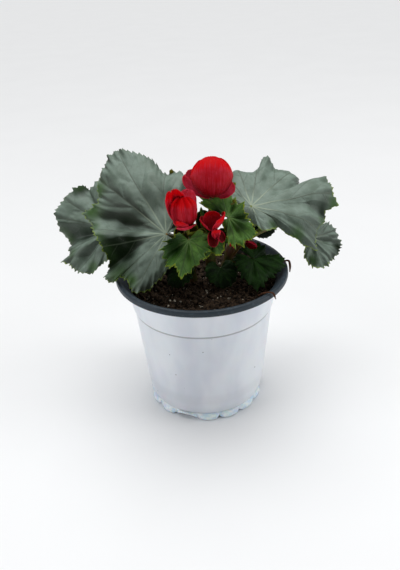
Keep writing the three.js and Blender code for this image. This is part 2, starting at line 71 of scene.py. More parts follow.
# -------- sizes of the scene's own detail
BLADE_THICKNESS = 0.5
PETAL_THICKNESS = 0.4
TOOTHED_REACH = (5, 16)  # the teeth grow from none to full between these reaches of the margin
SPRIG_STALK_RADIUS = 0.55
POT_TURNS = 240
FOOT_TURNS = 720
SOIL_TURNS = 260
SOIL_ROWS = 90
CRUMBS = 1200
PALE_EVERY = 6  # one crumb in so many is a pale grain of perlite
STEM_SWELL = {0: 1.05, 0.3: 0.95, 0.42: 1.12, 0.55: 0.95, 0.72: 1.1, 0.85: 0.92, 1: 0.85}
STALK_SWELL = {0: 1.15, 0.15: 1.0, 0.8: 0.9, 1: 0.6}
DEBRIS_SWELL = {0: 0.7, 0.3: 1.1, 0.5: 0.8, 0.8: 1.2, 1: 0.5}

# -------- camera and light
CAMERA_PLACE = (-1.8, -397.4, 317.9)
CAMERA_DOWN = 29.2
CAMERA_ROLL = -2.7
LENS, SENSOR = 37.43, 36
FLOOR_REACH = 12000
LIGHT_AIM = 120  # height that the softboxes look at
SKY_POWER, SKY_SPREAD = 2.2, 62
SOFTBOX_SIZE = 700
WORLD_LIGHT = 0.24

# One entry per leaf. at: where blade and stalk meet. face: which way the blade looks. stalk: its points up
# to there. radius: the stalk's. margin {angle: reach}, lift {angle: rise of the margin}, curl {angle: roll
# of the outer blade} and lime {angle: how lime the rim is} run round that joint. veins: angles of the main
# ones. folds: [angle, depth, width, share of the depth left at the margin, share of the reach where it
# starts]. dents: [angle, share of the reach, depth, radius]. patches: [angle, share, radius, strength] of
# green underside colour. shades: the same for hollows, where painted shade darkens the blade to near black
# and lowers its sheen. turned_shade: how strongly painted shade darkens the blade where it faces away from
# above. puff: how far it swells between veins. pale: how pale the veins are near the joint. teeth, period:
# how deep and far apart the teeth are. cells, rows: its grid.
# PLAIN_LEAF holds what a leaf has unless its entry says otherwise.
PLAIN_LEAF = dict(
    curl={0: -15}, folds=[], dents=[], lime={0: 0.2}, patches=[], shades=[], teeth=1.8, period=4.5,
    puff=0.9, turned_shade=1, pale=0.4, cells=180, rows=22,
)
LEAVES = {
    "leaf_left_front": dict(
        tone="grey", at=[-24, -14, 146], face=[-0.25, -0.72, 0.65],
        stalk=[[-9, -2, 124], [-15, -2, 135], [-22, -8, 142]], radius=2.2,
        margin={30: 7, 58: 10, 77: 32, 86: 52, 94: 56, 105: 52, 114: 65, 124: 76, 131: 83, 144: 76, 152: 71,
            162: 63, 171: 72, 178: 61, 194: 50, 205: 49, 217: 58, 227: 53, 229: 45, 238: 44, 248: 48,
            259: 44, 271: 34, 286: 24, 310: 21, 330: 12},
        lift={40: -4, 80: -4, 125: 0, 150: 0, 168: 4, 185: 5, 205: -2, 222: -4, 240: 3, 270: 1, 300: -3},
        curl={40: -50, 75: -70, 95: -60, 115: -25, 150: -10, 172: -30, 200: 10, 215: -20, 300: -20},
        veins=[76, 104, 130, 149, 182, 197, 229, 252, 284],
        folds=[[172, 7, 10, 0.3, 0.05], [190, -3, 6, 0.6, 0.2], [211, 8.5, 9, 1.0, 0.25],
            [141, -2.5, 9, 0.3], [104, 2, 7, 0.6, 0.2], [241, 2, 6, 0.8, 0.4], [262, -1.5, 7, 0.4, 0.4]],
        dents=[[150, 0.3, 1.5, 9], [118, 0.6, -1.6, 12], [249, 0.55, -1.5, 9]],
        lime={90: 0.05, 140: 0.2, 165: 0.9, 200: 0.9, 212: 0.3, 236: 0.7, 300: 0.1},
        patches=[[153, 0.95, 8, 1], [169, 0.9, 12, 1], [180, 0.97, 7, 0.9], [190, 0.96, 7, 0.8],
            [201, 0.96, 8, 0.6], [226, 0.88, 15, 0.75], [241, 0.93, 8, 1], [285, 0.9, 6, 0.6]],
        shades=[[197, 0.55, 10, 0.9], [201, 0.8, 14, 1], [207, 0.97, 13, 1], [166, 0.36, 9, 0.4],
            [171, 0.5, 9, 0.4], [209, 0.66, 13, 0.9], [224, 0.7, 19, 0.6], [252, 0.6, 18, 0.4],
            [235, 0.3, 9, 0.2]], teeth=2.2, period=4.2, puff=0.65, pale=0.5, cells=700, rows=44,
    ),
    "leaf_left_back": dict(
        tone="grey", at=[-68, 26, 135], face=[-0.35, -0.75, 0.56],
        stalk=[[-8, 0, 112], [-24, 8, 125], [-46, 19, 133], [-62, 29, 132]], radius=2.2,
        margin={60: 12, 90: 25, 121: 47, 137: 45, 142: 55, 153: 51, 177: 52, 182: 48, 190: 53, 203: 48,
            216: 45, 218: 52, 224: 48, 240: 44, 256: 38, 268: 27, 300: 20, 330: 10},
        lift={75: 0, 140: 0, 160: 3, 180: 3, 195: -6, 215: -3, 240: 0},
        curl={75: 0, 110: -20, 138: -45, 155: -10, 180: 0, 194: -30, 215: -20, 240: 0},
        veins=[112, 137, 159, 178, 210, 239],
        folds=[[196, 6.5, 9, 0.9], [178, -2, 8, 0.4], [141, 3, 6, 0.8], [222, -2, 8, 0.6],
            [236, 2, 6, 0.6]], dents=[[186, 0.4, 2.5, 8]], lime={120: 0.1, 200: 0.2, 222: 0.9, 240: 0.3},
        patches=[[143, 0.92, 8, 0.7], [195, 0.92, 10, 0.9], [216, 0.9, 6, 0.7], [254, 0.85, 7, 0.8]],
        shades=[[143, 0.88, 11, 0.8], [192, 0.8, 13, 0.7], [200, 0.55, 9, 0.5], [232, 0.7, 7, 0.5]],
        teeth=2.0, period=4.2, puff=0.6, turned_shade=0.75, pale=0.3, cells=420, rows=38,
    ),
    "leaf_right_front": dict(
        tone="grey", at=[38, 4, 157], face=[0.12, -0.42, 0.9],
        stalk=[[25, 8, 131], [29, 8, 141], [36, 7, 150]], radius=2.4,
        margin={-247: 19, -234: 19, -205: 10, -161: 8, -112: 11, -73: 23, -46: 24, -42: 40, -38: 57,
            -34: 54, -26: 53, -16: 59, -6: 61, -4: 71, 2: 67, 16: 70, 20: 50, 25: 58, 34: 67, 40: 67,
            52: 55, 57: 55, 60: 59, 63: 47, 76: 48, 85: 52, 92: 48, 101: 35, 110: 20},
        lift={-230: 0, -150: -2, -120: -4, -60: -3, -44: -7, -38: -17, -31: -12, -20: -5, -6: -2, 2: 3,
            14: 4, 20: -3, 30: -2, 40: -2, 56: 4, 72: -2, 90: -4},
        curl={-230: 0, -150: -20, -110: -20, -70: 10, -45: -30, -20: -30, -6: -10, 5: -10, 16: -15, 28: -55,
            45: -60, 57: -20, 70: -65, 90: -70, 104: -25, 110: 0},
        veins=[-150, -112, -82, -45, -26, 1, 35, 64, 84, 101],
        folds=[[-9, 8, 7, 1.0, 0.62], [-27, -2, 9, 0.6, 0.2], [48, 2, 9, 0.2, 0.3], [-52, 3, 7, 0.8, 0.7],
            [75, -1.5, 9, 0.3, 0.2]], dents=[[-80, 0.7, 1.5, 8], [20, 0.45, -1.2, 10]],
        lime={-120: 0.8, -60: 0.8, -38: 0.9, -25: 0.2, -12: 0.8, 2: 0.9, 14: 0.2, 90: 0.05},
        patches=[[-41, 0.85, 7, 1], [-4, 0.96, 8, 1], [-17, 0.96, 6, 0.9], [-58, 0.9, 6, 0.8]],
        shades=[[-8, 0.95, 8, 0.85], [-130, 0.8, 10, 0.3], [-50, 0.9, 6, 0.5]],
        teeth=1.3, period=3.2, puff=0.45, turned_shade=0.6, pale=0.8, cells=700, rows=44,
    ),
    "leaf_right_back": dict(
        tone="grey", at=[86, 14, 124], face=[0.35, -0.75, 0.56],
        stalk=[[20, 7, 114], [32, 8, 126.5], [48, 12, 134.5], [66, 18, 136], [80, 21, 129], [84, 18, 122]],
        radius=2.3,
        margin={-200: 9, -150: 12, -129: 21, -92: 24, -68: 23, -34: 27, -19: 31, -4: 28, 22: 25, 38: 14,
            68: 8, 110: 8}, lift={-110: 3, -60: 0, -20: -3, 20: -3, 60: 0, 100: 2},
        curl={-110: 0, -40: -10, 0: -25, 40: -20, 100: 0}, veins=[-111, -84, -28, 5, 50],
        folds=[[-105, 2.5, 8, 0.8], [-20, 2.5, 9, 0.9], [-60, -1.5, 10, 0.4]],
        lime={-200: 1, -112: 1, -60: 0.6, 0: 0.3, 100: 0.3}, patches=[[-112, 0.75, 7, 0.9]],
        shades=[[-29, 0.92, 9, 1], [-50, 0.95, 6, 0.6], [-112, 0.8, 7, 0.8]],
        teeth=2.2, period=4.2, puff=0.5, turned_shade=0.75, pale=0.4, cells=320, rows=34,
    ),
    "leaf_right_small": dict(
        tone="dark", at=[45, 19, 135], face=[0.3, -0.7, 0.6],
        stalk=[[24, 8, 128], [27, 15, 134], [34, 20, 135], [42, 21, 133]], radius=1.4,
        margin={-170: 7, -130: 9, -90: 10, -50: 13, -15: 16, 10: 14, 50: 10, 100: 7},
        lift={-120: 0, -40: -2, 60: 1}, curl={0: -10}, veins=[-130, -85, -40, 0, 50], lime={0: 0.5},
        teeth=1.4, period=4.0,
    ),
    "leaf_centre": dict(
        tone="green", at=[20, -20, 159], face=[0.1, -0.6, 0.8],
        stalk=[[7, -5, 145], [13, -9, 151], [19, -16, 155]], radius=1.5,
        margin={-150: 6, -115: 9, -96: 20, -55: 21, -40: 23, -22: 17, -5: 14, 22: 14, 50: 14, 85: 22,
            126: 25, 143: 22, 155: 10}, lift={-90: -2, -50: -4, -20: -2, 20: 0, 60: 2, 110: 3, 150: 2},
        curl={-90: 0, -30: -10, 0: 30, 30: 0, 80: -25, 120: -35, 150: 0},
        veins=[-85, -51, -20, 12, 60, 100, 132],
        folds=[[5, 4, 12, 0.8], [-35, -1.5, 9, 0.6], [-68, 2, 7, 0.6], [60, 2, 9, 0.3]],
        dents=[[105, 0.55, -2.5, 9]], lime={-100: 0.6, -20: 1, 30: 0.9, 60: 0.3, 120: 0.3, 140: 1},
        patches=[[-5, 0.6, 6, 0.7]],
        shades=[[150, 0.5, 6, 1], [-10, 0.7, 5, 0.8], [-100, 0.5, 6, 0.5], [-52, 0.5, 6, 0.6]],
        teeth=3.8, period=6.0, puff=0.7, turned_shade=0.35, pale=0.3, cells=300, rows=34,
    ),
    "leaf_low_front": dict(
        tone="green", at=[-8, -32, 149], face=[-0.1, -0.85, 0.5],
        stalk=[[-9, -4, 136], [-9, -16, 141], [-8, -26, 146]], radius=1.6,
        margin={-219: 9, -191: 12, -163: 21, -144: 23, -125: 24, -119: 21, -109: 21, -102: 26, -79: 20,
            -49: 17, 22: 13, 51: 8}, lift={-190: -4, -160: -8, -135: -6, -118: 3, -90: 0, -40: -1, 45: 0},
        curl={-190: 0, -150: -20, -118: 10, -90: 0, -50: -15, 45: 0},
        veins=[-190, -152, -122, -102, -74, -31, 20],
        folds=[[-140, 3.5, 10, 0.9], [-112, -1.5, 8, 0.6], [-90, 2, 7, 0.8], [-60, -1.5, 10, 0.6]],
        dents=[[-160, 0.6, 1.5, 6]], lime={-200: 0.7, -125: 0.9, -100: 0.7, 0: 0.4},
        patches=[[-152, 0.6, 12, 1], [-170, 0.8, 8, 1]], shades=[[-156, 0.5, 10, 1], [-176, 0.7, 9, 1]],
        teeth=4.2, period=6.4, puff=0.7, turned_shade=0.35, pale=0.3, cells=320, rows=36,
    ),
    "leaf_small_front": dict(
        tone="green", at=[9, -26, 145], face=[0.05, -0.8, 0.6],
        stalk=[[7, -2, 131], [8, -12, 137], [9, -21, 142]], radius=1.2,
        margin={-193: 5, -151: 6, -119: 14, -105: 9, -78: 12, -50: 10, 12: 6},
        lift={-190: -2, -120: -3, -90: 2, -50: -1, 20: 0}, curl={0: 0}, veins=[-160, -124, -90, -62, -20],
        folds=[[-105, 2, 9, 0.8]], lime={-180: 1, 0: 1},
        teeth=2.6, period=5, turned_shade=0.4, pale=0.3, cells=200, rows=24,
    ),
    "leaf_right_low": dict(
        tone="dark", at=[38, -12, 122], face=[0.05, -0.55, 0.83],
        stalk=[[18, 7, 106], [26, 2, 114], [36, -6, 117]], radius=1.6,
        margin={-207: 14, -151: 15, -115: 19, -89: 23, -60: 19, -42: 20, -13: 24, 5: 20, 31: 14, 64: 17,
            79: 16, 130: 13}, lift={-200: -1, -90: -1, -30: 0, 20: 0, 90: -1},
        curl={-200: -10, -120: -20, -60: -15, 0: -25, 60: -15, 130: -10},
        veins=[-163, -113, -81, -31, 5, 76, 120],
        folds=[[-97, 2, 9, 0.8], [-45, 2, 9, 0.8], [30, 1.5, 12, 0.8]], lime={0: 0.12},
        teeth=3.2, period=6, turned_shade=0.5, pale=0.4, cells=320, rows=34,
    ),
    "leaf_shade_left": dict(
        tone="dark", at=[-14, -9, 117], face=[-0.3, -0.6, 0.7],
        stalk=[[-7, 1, 103], [-11, -1, 110], [-13, -5, 114]], radius=1.3,
        margin={-240: 9, -190: 13, -150: 15, -100: 17, -60: 14, -20: 11, 40: 8}, lift={-150: -2, -60: 1},
        veins=[-200, -160, -120, -80, -40],
    ),
    "leaf_shade_right": dict(
        tone="dark", at=[14, -8, 114], face=[0.1, -0.6, 0.75],
        stalk=[[6, 2, 101], [9, 0, 108], [13, -5, 111]], radius=1.3,
        margin={-230: 8, -180: 12, -130: 14, -90: 16, -50: 15, 0: 12, 50: 8}, lift={-150: 1, -60: -2, 0: 1},
        veins=[-200, -160, -120, -80, -40, 0],
    ),
}
# The rods of each stem, as points and a radius.
STEMS = {
    "stem_left": [
        ([[-5, 3, ROOT_HEIGHT], [-8, 1, 112], [-9, -4, 136], [-9, -12, 146]], 3.4),
        ([[-9, -10, 144], [-9.4, -19, 147], [-10, -26, 154]], 1.5),
    ],
    "stem_centre": [
        ([[6, 4, ROOT_HEIGHT], [7, 1, 115], [7, -4, 142], [7.4, -8, 156]], 3.6),
        ([[7.4, -7, 152], [8, -10, 162], [8.5, -12, 170.5]], 1.5),
        ([[7, -6, 146], [8, -16, 146], [8.6, -27, 152.5]], 1.4),
    ],
    "stem_right": [
        ([[15, 8, ROOT_HEIGHT], [20, 7, 112], [26, 8, 136]], 3.4),
        ([[25, 8, 131], [29, 2, 134], [32, -8, 133.5]], 1.2),
    ],
}

DEBRIS = {
    "dry_stalk": ([[53.2, 1, 101.6], [54.7, 0.5, 107], [57.2, 0, 111.2], [62.5, 0, 113.1], [66, 1, 112.5],
                   [67.3, 2, 108], [67.5, 3, 102]], 0.8),
    "dry_sliver": ([[38.5, -41.5, 108.5], [43, -44.6, 112.2], [48, -45.3, 112], [50.2, -45, 107]], 0.6),
}


def petal(turn, opening, length, width, bend, cup, **more):
    """A petal's turn about its bloom's axis, how far it opens, its size, and how far it bends and cups.
    lean: an axis of its own. round: how blunt its tip is. grooves: [side, depth, width]. blush:
    how much paler it is than the others, partly its own paler pink and partly a painted highlight. deep:
    how much darker it is than the others."""
    plain = dict(round=2, ruffle=1, grooves=[], blush=0, deep=0)
    return dict(turn=turn, open=opening, length=length, width=width, bend=bend, cup=cup) | plain | more


BLOOMS = {
    "flower_top": ([9.6, -12, 171.3], [0, 0.03, 1], [
        petal(FRONT, 80, 42, 54, 170, 214, round=2.5, ruffle=0.4,
              grooves=[[0.5, 0.5, 0.1], [-0.62, 0.8, 0.12]]),
        petal(90, 34, 26, 17, 50, 90, lean=[-0.74, 0.16, 0.66], round=2.6, blush=0.9,
              grooves=[[0.1, 1.2, 0.2]]),
        petal(90, 18, 18, 14, 40, 90, lean=[0.8, 0, 0.55], round=2.6, blush=1),
        *[petal(turn, 72, 30, 26, 124, 108, round=2.6) for turn in (52, 128)],
        *[petal(turn, 28, 20, 11, 50, 60) for turn in (20, 140, 260)],
    ]),
    "flower_left": ([-10, -27, 155], [-0.05, 0.02, 1], [
        petal(276, 60, 30, 23, 84, 130, round=2.2,
              grooves=[[-0.5, 4.0, 0.2], [0.1, 1.6, 0.13], [0.55, 1.4, 0.11]]),
        petal(100, 12, 37, 18, 62, 125, lean=[-0.28, 0, 1], round=2.2, grooves=[[0.3, 1.4, 0.15]]),
        petal(66, 16, 28, 16, 30, 85, lean=[0.14, 0.12, 1], round=2.2, blush=0.9),
        petal(238, 84, 13, 13, 88, 80),
        petal(290, 98, 9, 16, 75, 80, blush=0.8),
    ]),
    "flower_right": ([8.6, -28, 153.5], [0.02, -0.06, 1], [
        petal(180, 75, 13, 15, 60, 90, round=3, deep=0.5),
        petal(-20, 66, 16, 19, 66, 90, round=3),
        petal(95, 45, 14, 14, 60, 70, deep=0.3),
        petal(FRONT, 115, 12, 9, -45, 110, deep=1),
        petal(-35, 105, 11, 9, -50, 60, deep=1),
    ]),
    "flower_bud_low": ([32.5, -9.5, 133.5], [0.8, -0.6, 0.05], [
        petal(turn, 60, 11, 11, 115, 120, deep=1) for turn in (FRONT, 90)
    ]),
}

# Small buds and bracts of three petals beside the solids: the node each belongs to, its skin, its place,
# its axis, where its stalk starts, how long and wide its petals are and how far they open.
SPRIGS = {
    "bud_low_red": (
        "flower_right", "petal", [10.4, -33, 149.5], [0.05, -0.3, 1], [9.2, -28, 150], 9.5, 8, 38),
    "bud_side": ("stem_centre", "bract", [24.4, -7, 176.5], [0.3, -0.2, 1], [9.5, -10, 166], 3.6, 3.4, 40),
    "bud_side_low": (
        "stem_centre", "bract", [24.2, -12, 166], [0.3, -0.2, 1], [9.5, -11, 161], 3.6, 3.6, 44),
    "bud_back": ("stem_left", "bract", [-18.5, 26, 176], [-0.2, 0, 1], [-9, 6, 132], 4.5, 4, 44),
    # The leaflet behind the centre is partly a real leaflet and partly painted shade for the shaded hollow
    # under the centre leaf.
    "bract_back_left": ("stem_centre", "leaf", [4, -9, 143], [-0.15, -0.1, 1], [7, -4, 139], 21, 17, 26),
    "bract_back_right": ("stem_centre", "leaf", [15, -13, 137], [0.2, -0.5, 1], [8, -4, 138], 15, 13, 64),
    "bract_under": ("stem_left", "bract", [-10, -16, 141.5], [-0.4, -0.5, 0.8], [-9, -10, 139], 16, 15, 50),
    "bract_left": ("stem_left", "bract", [-8, -24, 148.5], [0.5, -0.4, 1], [-9, -19, 146], 11, 8, 62),
    "bract_middle": ("stem_centre", "bract", [4.5, -22, 143], [-0.5, -0.4, 1], [7, -16, 140], 12, 8, 50),
    "bract_low": ("stem_right", "bract", [27, -2, 131], [0.3, -0.8, 0.6], [26, 4, 130], 9, 7, 60),
    "bud_dark_a": ("stem_right", "petal", [24, -6, 131], [-0.2, -0.7, 0.5], [26, 2, 131], 7, 6, 40),
}


# -------- small mathematics
def smooth(keys, x):
    """A smooth curve through {x: y} keys that never overshoots them, at every x of an array."""
    x = np.asarray(x, float)
    at, to = np.array(list(keys.items()), float).T
    if len(at) == 1:
        return np.full_like(x, to[0])
    slope = np.diff(to) / np.diff(at)
    tangent = np.concatenate([slope[:1], np.zeros(len(at) - 2), slope[-1:]])
    for i, (before, after) in enumerate(zip(slope, slope[1:]), 1):
        if before * after > 0:
            tangent[i] = 2 * before * after / (before + after)
    x = np.clip(x, at[0], at[-1])
    i = np.clip(np.searchsorted(at, x, side="right") - 1, 0, len(at) - 2)
    span = at[i + 1] - at[i]
    t = (x - at[i]) / span
    rise = 3 * t**2 - 2 * t**3
    leave = t**3 - 2 * t**2 + t
    arrive = t**3 - t**2
    return (1 - rise) * to[i] + rise * to[i + 1] + span * (leave * tangent[i] + arrive * tangent[i + 1])


def ease(low, high, x):
    """0 below low, 1 above high and smooth between."""
    t = np.clip((np.asarray(x, float) - low) / (high - low), 0, 1)
    return t * t * (3 - 2 * t)


def bell(distance, width):
    return np.exp(-((distance / width) ** 2))


def waves(x, seed, period, octaves=3):
    """Smooth irregular waves along x, between about -1 and 1."""
    rng = np.random.default_rng(seed)
    total = np.zeros_like(np.asarray(x, float))
    for k in range(octaves):
        turns = rng.uniform(0.75, 1.3, 3) * 2**k / period
        starts = rng.uniform(0, 2 * math.pi, 3)
        for turn, start in zip(turns, starts):
            total += np.sin(2 * math.pi * turn * x + start) / (3 * 1.7**k)
    return total


def grain(points, size, seed, octaves=3):
    """Smooth solid noise at each point, between about -1 and 1."""
    shift = Vector((seed * 7.1, seed * 3.7, seed * 5.3))
    return np.array([noise.fractal(Vector(point) / size + shift, 1.0, 2.0, octaves) for point in points])


def unit(vector):
    return np.asarray(vector, float) / np.linalg.norm(vector)


def polar(angle, distance):
    """Flat points at an angle and a distance, which are numbers or arrays."""
    turn = np.radians(angle)
    return np.stack([distance * np.cos(turn), distance * np.sin(turn)], -1)


def run_along(points):
    """How far along its line each point lies."""
    return np.concatenate([[0], np.cumsum(np.linalg.norm(np.diff(points, axis=0), axis=1))])


def catmull(points, count):
    """count + 1 points spaced along a smooth curve through the points."""
    points = np.array(points, float)
    full = np.vstack([2 * points[0] - points[1], points, 2 * points[-1] - points[-2]])
    steps = np.linspace(0, len(points) - 1, count * 8 + 1)
    i = np.minimum(steps.astype(int), len(points) - 2)
    t = (steps - i)[:, None]
    a, b, c, d = full[i], full[i + 1], full[i + 2], full[i + 3]
    curve = b + (c - a) / 2 * t + (a - 2.5 * b + 2 * c - d / 2) * t**2 + (3 * b - a - 3 * c + d) / 2 * t**3
    run = run_along(curve)
    even = np.linspace(0, run[-1], count + 1)
    return np.stack([np.interp(even, run, curve[:, k]) for k in range(3)], axis=1)


# -------- meshes
def build(name, points, faces, materials, attributes=None, slots=None):
    """A smooth-shaded mesh object."""
    mesh = bpy.data.meshes.new(name)
    mesh.from_pydata((np.asarray(points) * MM).tolist(), [], [list(map(int, face)) for face in faces])
    mesh.polygons.foreach_set("use_smooth", [True] * len(mesh.polygons))
    for material in materials:
        mesh.materials.append(material)
    if slots is not None:
        mesh.polygons.foreach_set("material_index", slots)
    for key, values in (attributes or {}).items():
        layer = mesh.attributes.new(key, "FLOAT", "POINT")
        layer.data.foreach_set("value", np.asarray(values, np.float32))
    mesh.update()
    piece = bpy.data.objects.new(name, mesh)
    bpy.context.scene.collection.objects.link(piece)
    return piece


def seat(piece, node):
    """The piece rides with the part and stands for a solid of it, which it hides."""
    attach(piece, "root")
    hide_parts(node)


def grid_faces(rows, columns, closed=False):
    """Quads of a grid of points whose rows run one after another, with its columns joined if closed."""
    k, j = np.meshgrid(np.arange(rows - 1), np.arange(columns if closed else columns - 1), indexing="ij")
    k, j = k.ravel() * columns, j.ravel()
    after = (j + 1) % columns
    return np.stack([k + j, k + columns + j, k + columns + after, k + after], 1)


def thicken(piece, thickness, under=0):
    """Gives a sheet its thickness, below the face it was built on."""
    solid = piece.modifiers.new("thickness", "SOLIDIFY")
    solid.thickness = thickness * MM
    solid.offset = -1
    solid.material_offset = under
    return piece


def ring(radius, height, angle):
    """Points round the axis at each angle. radius and height are numbers or arrays."""
    return np.column_stack([polar(angle, radius), np.broadcast_to(height, angle.shape)])


def tube(name, points, radius, material, sides, steps, swell):
    """A round rod along a smooth curve, closed by domes. swell scales its radius along its length."""
    path = catmull(points, steps)
    share = np.linspace(0, 1, steps + 1)
    size = radius * smooth(swell, share)
    ahead = np.gradient(path, axis=0)
    ahead /= np.linalg.norm(ahead, axis=1)[:, None]
    across = np.cross(ahead[0], [0.3, 1, 0.2])
    turns = np.linspace(0, 2 * math.pi, sides, endpoint=False)[:, None]
    dome = np.linspace(0, math.pi / 2, 5)[1:]
    tilts = [[0]] * (steps + 1)
    tilts[0], tilts[-1] = [*-dome[::-1], 0], [0, *dome]
    rings, shares = [], []
    for k in range(steps + 1):
        across = unit(across - ahead[k] * (across @ ahead[k]))
        circle = np.cos(turns) * across + np.sin(turns) * np.cross(ahead[k], across)
        for tilt in tilts[k]:
            centre = path[k] + ahead[k] * math.sin(tilt) * size[k] * 0.6
            rings.append(centre + circle * size[k] * max(0.02, math.cos(tilt)))
            shares.append(share[k])
    faces = grid_faces(len(rings), sides, closed=True)[:, ::-1].tolist()
    faces += [range(sides), range(len(rings) * sides - 1, (len(rings) - 1) * sides - 1, -1)]
    return build(name, np.concatenate(rings), faces, [material], {"along": np.repeat(shares, sides)})


# -------- materials
def linear(code):
    """The linear colour of a "#rrggbb" display colour."""
    shares = [value / 255 for value in bytes.fromhex(code[1:])]
    return (*(s / 12.92 if s <= 0.04045 else ((s + 0.055) / 1.055) ** 2.4 for s in shares), 1.0)


class Surface:
    """A node material that is built up step by step. A string among its inputs is a "#rrggbb" colour."""

    def __init__(self, name, roughness, specular, **sockets):
        self.material = bpy.data.materials.new(name)
        self.material.use_nodes = True
        self.tree = self.material.node_tree
        self.shader = self.tree.nodes["Principled BSDF"]
        self.set(self.shader, {"Roughness": roughness, "Specular IOR Level": specular})
        self.set(self.shader, {key.replace("_", " "): value for key, value in sockets.items()})
        self.place = self.node("ShaderNodeTexCoord").outputs["Object"]

    def set(self, node, inputs):
        for key, value in inputs.items():
            if isinstance(value, bpy.types.NodeSocket):
                self.tree.links.new(value, node.inputs[key])
            else:
                node.inputs[key].default_value = linear(value) if isinstance(value, str) else value

    def node(self, kind, inputs=None, **settings):
        node = self.tree.nodes.new(kind)
        for key, value in settings.items():
            setattr(node, key, value)
        self.set(node, inputs or {})
        return node

    def read(self, name):
        """A value that the mesh holds at its points."""
        return self.node("ShaderNodeAttribute", attribute_name=name).outputs["Fac"]

    def noise(self, size, detail=3, stretch=(1, 1, 1)):
        """Noise between 0 and 1 whose features are about `size` across."""
        shrink = tuple(1 / share for share in stretch)
        place = self.node("ShaderNodeMapping", {"Vector": self.place, "Scale": shrink})
        inputs = {"Vector": place.outputs[0], "Scale": 1 / (size * MM), "Detail": detail}
        return self.node("ShaderNodeTexNoise", inputs).outputs["Fac"]

    def cells(self, size, feature="DISTANCE_TO_EDGE"):
        inputs = {"Vector": self.place, "Scale": 1 / (size * MM)}
        return self.node("ShaderNodeTexVoronoi", inputs, feature=feature).outputs["Distance"]

    def step(self, value, low, high, to_low=0.0, to_high=1.0):
        """Maps low..high to to_low..to_high, smoothly."""
        inputs = {0: value, 1: low, 2: high, 3: to_low, 4: to_high}
        return self.node("ShaderNodeMapRange", inputs, interpolation_type="SMOOTHSTEP").outputs[0]

    def math(self, operation, a, b):
        return self.node("ShaderNodeMath", {0: a, 1: b}, operation=operation).outputs[0]

    def times(self, a, b):
        return self.math("MULTIPLY", a, b)

    def mix(self, factor, a, b):
        return self.node("ShaderNodeMix", {0: factor, 6: a, 7: b}, data_type="RGBA").outputs[2]

    def bump(self, height, depth, below=None):
        """A bump of that depth, on top of another bump."""
        inputs = {"Height": height, "Strength": 1.0, "Distance": depth * MM}
        if below is not None:
            inputs["Normal"] = below
        return self.node("ShaderNodeBump", inputs).outputs[0]

    def finish(self, color, normal, roughness=None):
        self.set(self.shader, {"Base Color": color, "Normal": normal})
        if roughness is not None:
            self.set(self.shader, {"Roughness": roughness})
        return self.material


def leaf_surface(name, specular, light, dark, shade, green, lime, vein):
    """The upper face of a leaf: mottled, with pale veins, a lime margin and green curled patches. Its grey
    is partly its own waxy bloom and partly a painted sheen. Painted shade, in the shade colour, darkens it
    where the blade faces away from above or lies in a hollow."""
    skin = Surface(name, 0.45, specular)
    mottle = skin.step(skin.noise(9, 4), 0.35, 0.65)
    fine = skin.step(skin.noise(1.6), 0.3, 0.7)
    color = skin.mix(mottle, dark, light)
    color = skin.mix(skin.step(fine, 0, 1, 0.0, 0.22), color, dark)
    # Painted shade where the blade faces away from above or lies in a hollow.
    color = skin.mix(skin.read("bare"), color, shade)
    color = skin.mix(skin.times(skin.read("patch"), skin.step(mottle, 0, 1, 0.75, 1.0)), color, green)
    edge = skin.math("ADD", skin.read("edge"), skin.step(fine, 0, 1, -0.5, 0.5))
    color = skin.mix(skin.times(skin.step(edge, 0.1, 1.3, 0.85, 0.0), skin.read("lime")), color, lime)
    # Near-black painted shade in the hollows, with the sheen turned down there too.
    hollow_shade = skin.read("hollow_shade")
    color = skin.mix(skin.times(hollow_shade, 0.6), color, "#081205")
    skin.set(skin.shader, {"Specular IOR Level": skin.step(hollow_shade, 0, 1, specular, 0.04)})
    line = skin.step(skin.read("vein"), -0.15, 0.45, 1.0, 0.0)
    # Painted shade along the vein creases away from the joint.
    color = skin.mix(skin.times(line, skin.step(skin.read("crease"), 0, 1, 0.0, 0.6)), color, shade)
    color = skin.mix(skin.times(line, skin.read("rank")), color, vein)
    normal = skin.bump(skin.step(skin.cells(0.9), 0.0, 0.3), 0.05)
    normal = skin.bump(line, 0.18, skin.bump(skin.noise(2.4, 4), 0.25, normal))
    return skin.finish(color, normal, skin.step(mottle, 0, 1, 0.44, 0.56))


def underside_surface(name, light, dark, vein):
    """The lower face of a leaf: paler, matt, with raised veins."""
    skin = Surface(name, 0.6, 0.3)
    line = skin.step(skin.read("vein"), -0.3, 0.6, 1.0, 0.0)
    color = skin.mix(skin.times(line, skin.read("rank")), skin.mix(skin.noise(7, 4), dark, light), vein)
    return skin.finish(color, skin.bump(line, 0.5, skin.bump(skin.noise(1.2), 0.12)))


def stem_surface(name, green, flush, foot):
    """A juicy green rod with flushed streaks, darker towards its foot."""
    skin = Surface(name, 0.42, 0.5, Subsurface_Weight=0.08, Subsurface_Scale=0.002)
    streak = skin.noise(1.8, 4, stretch=(1, 1, 6))
    color = skin.mix(skin.step(skin.noise(11), 0.35, 0.65), green, flush)
    color = skin.mix(skin.step(streak, 0.5, 0.75, 0.0, 0.5), color, green)
    color = skin.mix(skin.step(skin.read("along"), 0.0, 0.35, 0.7, 0.0), color, foot)
    return skin.finish(color, skin.bump(streak, 0.2))


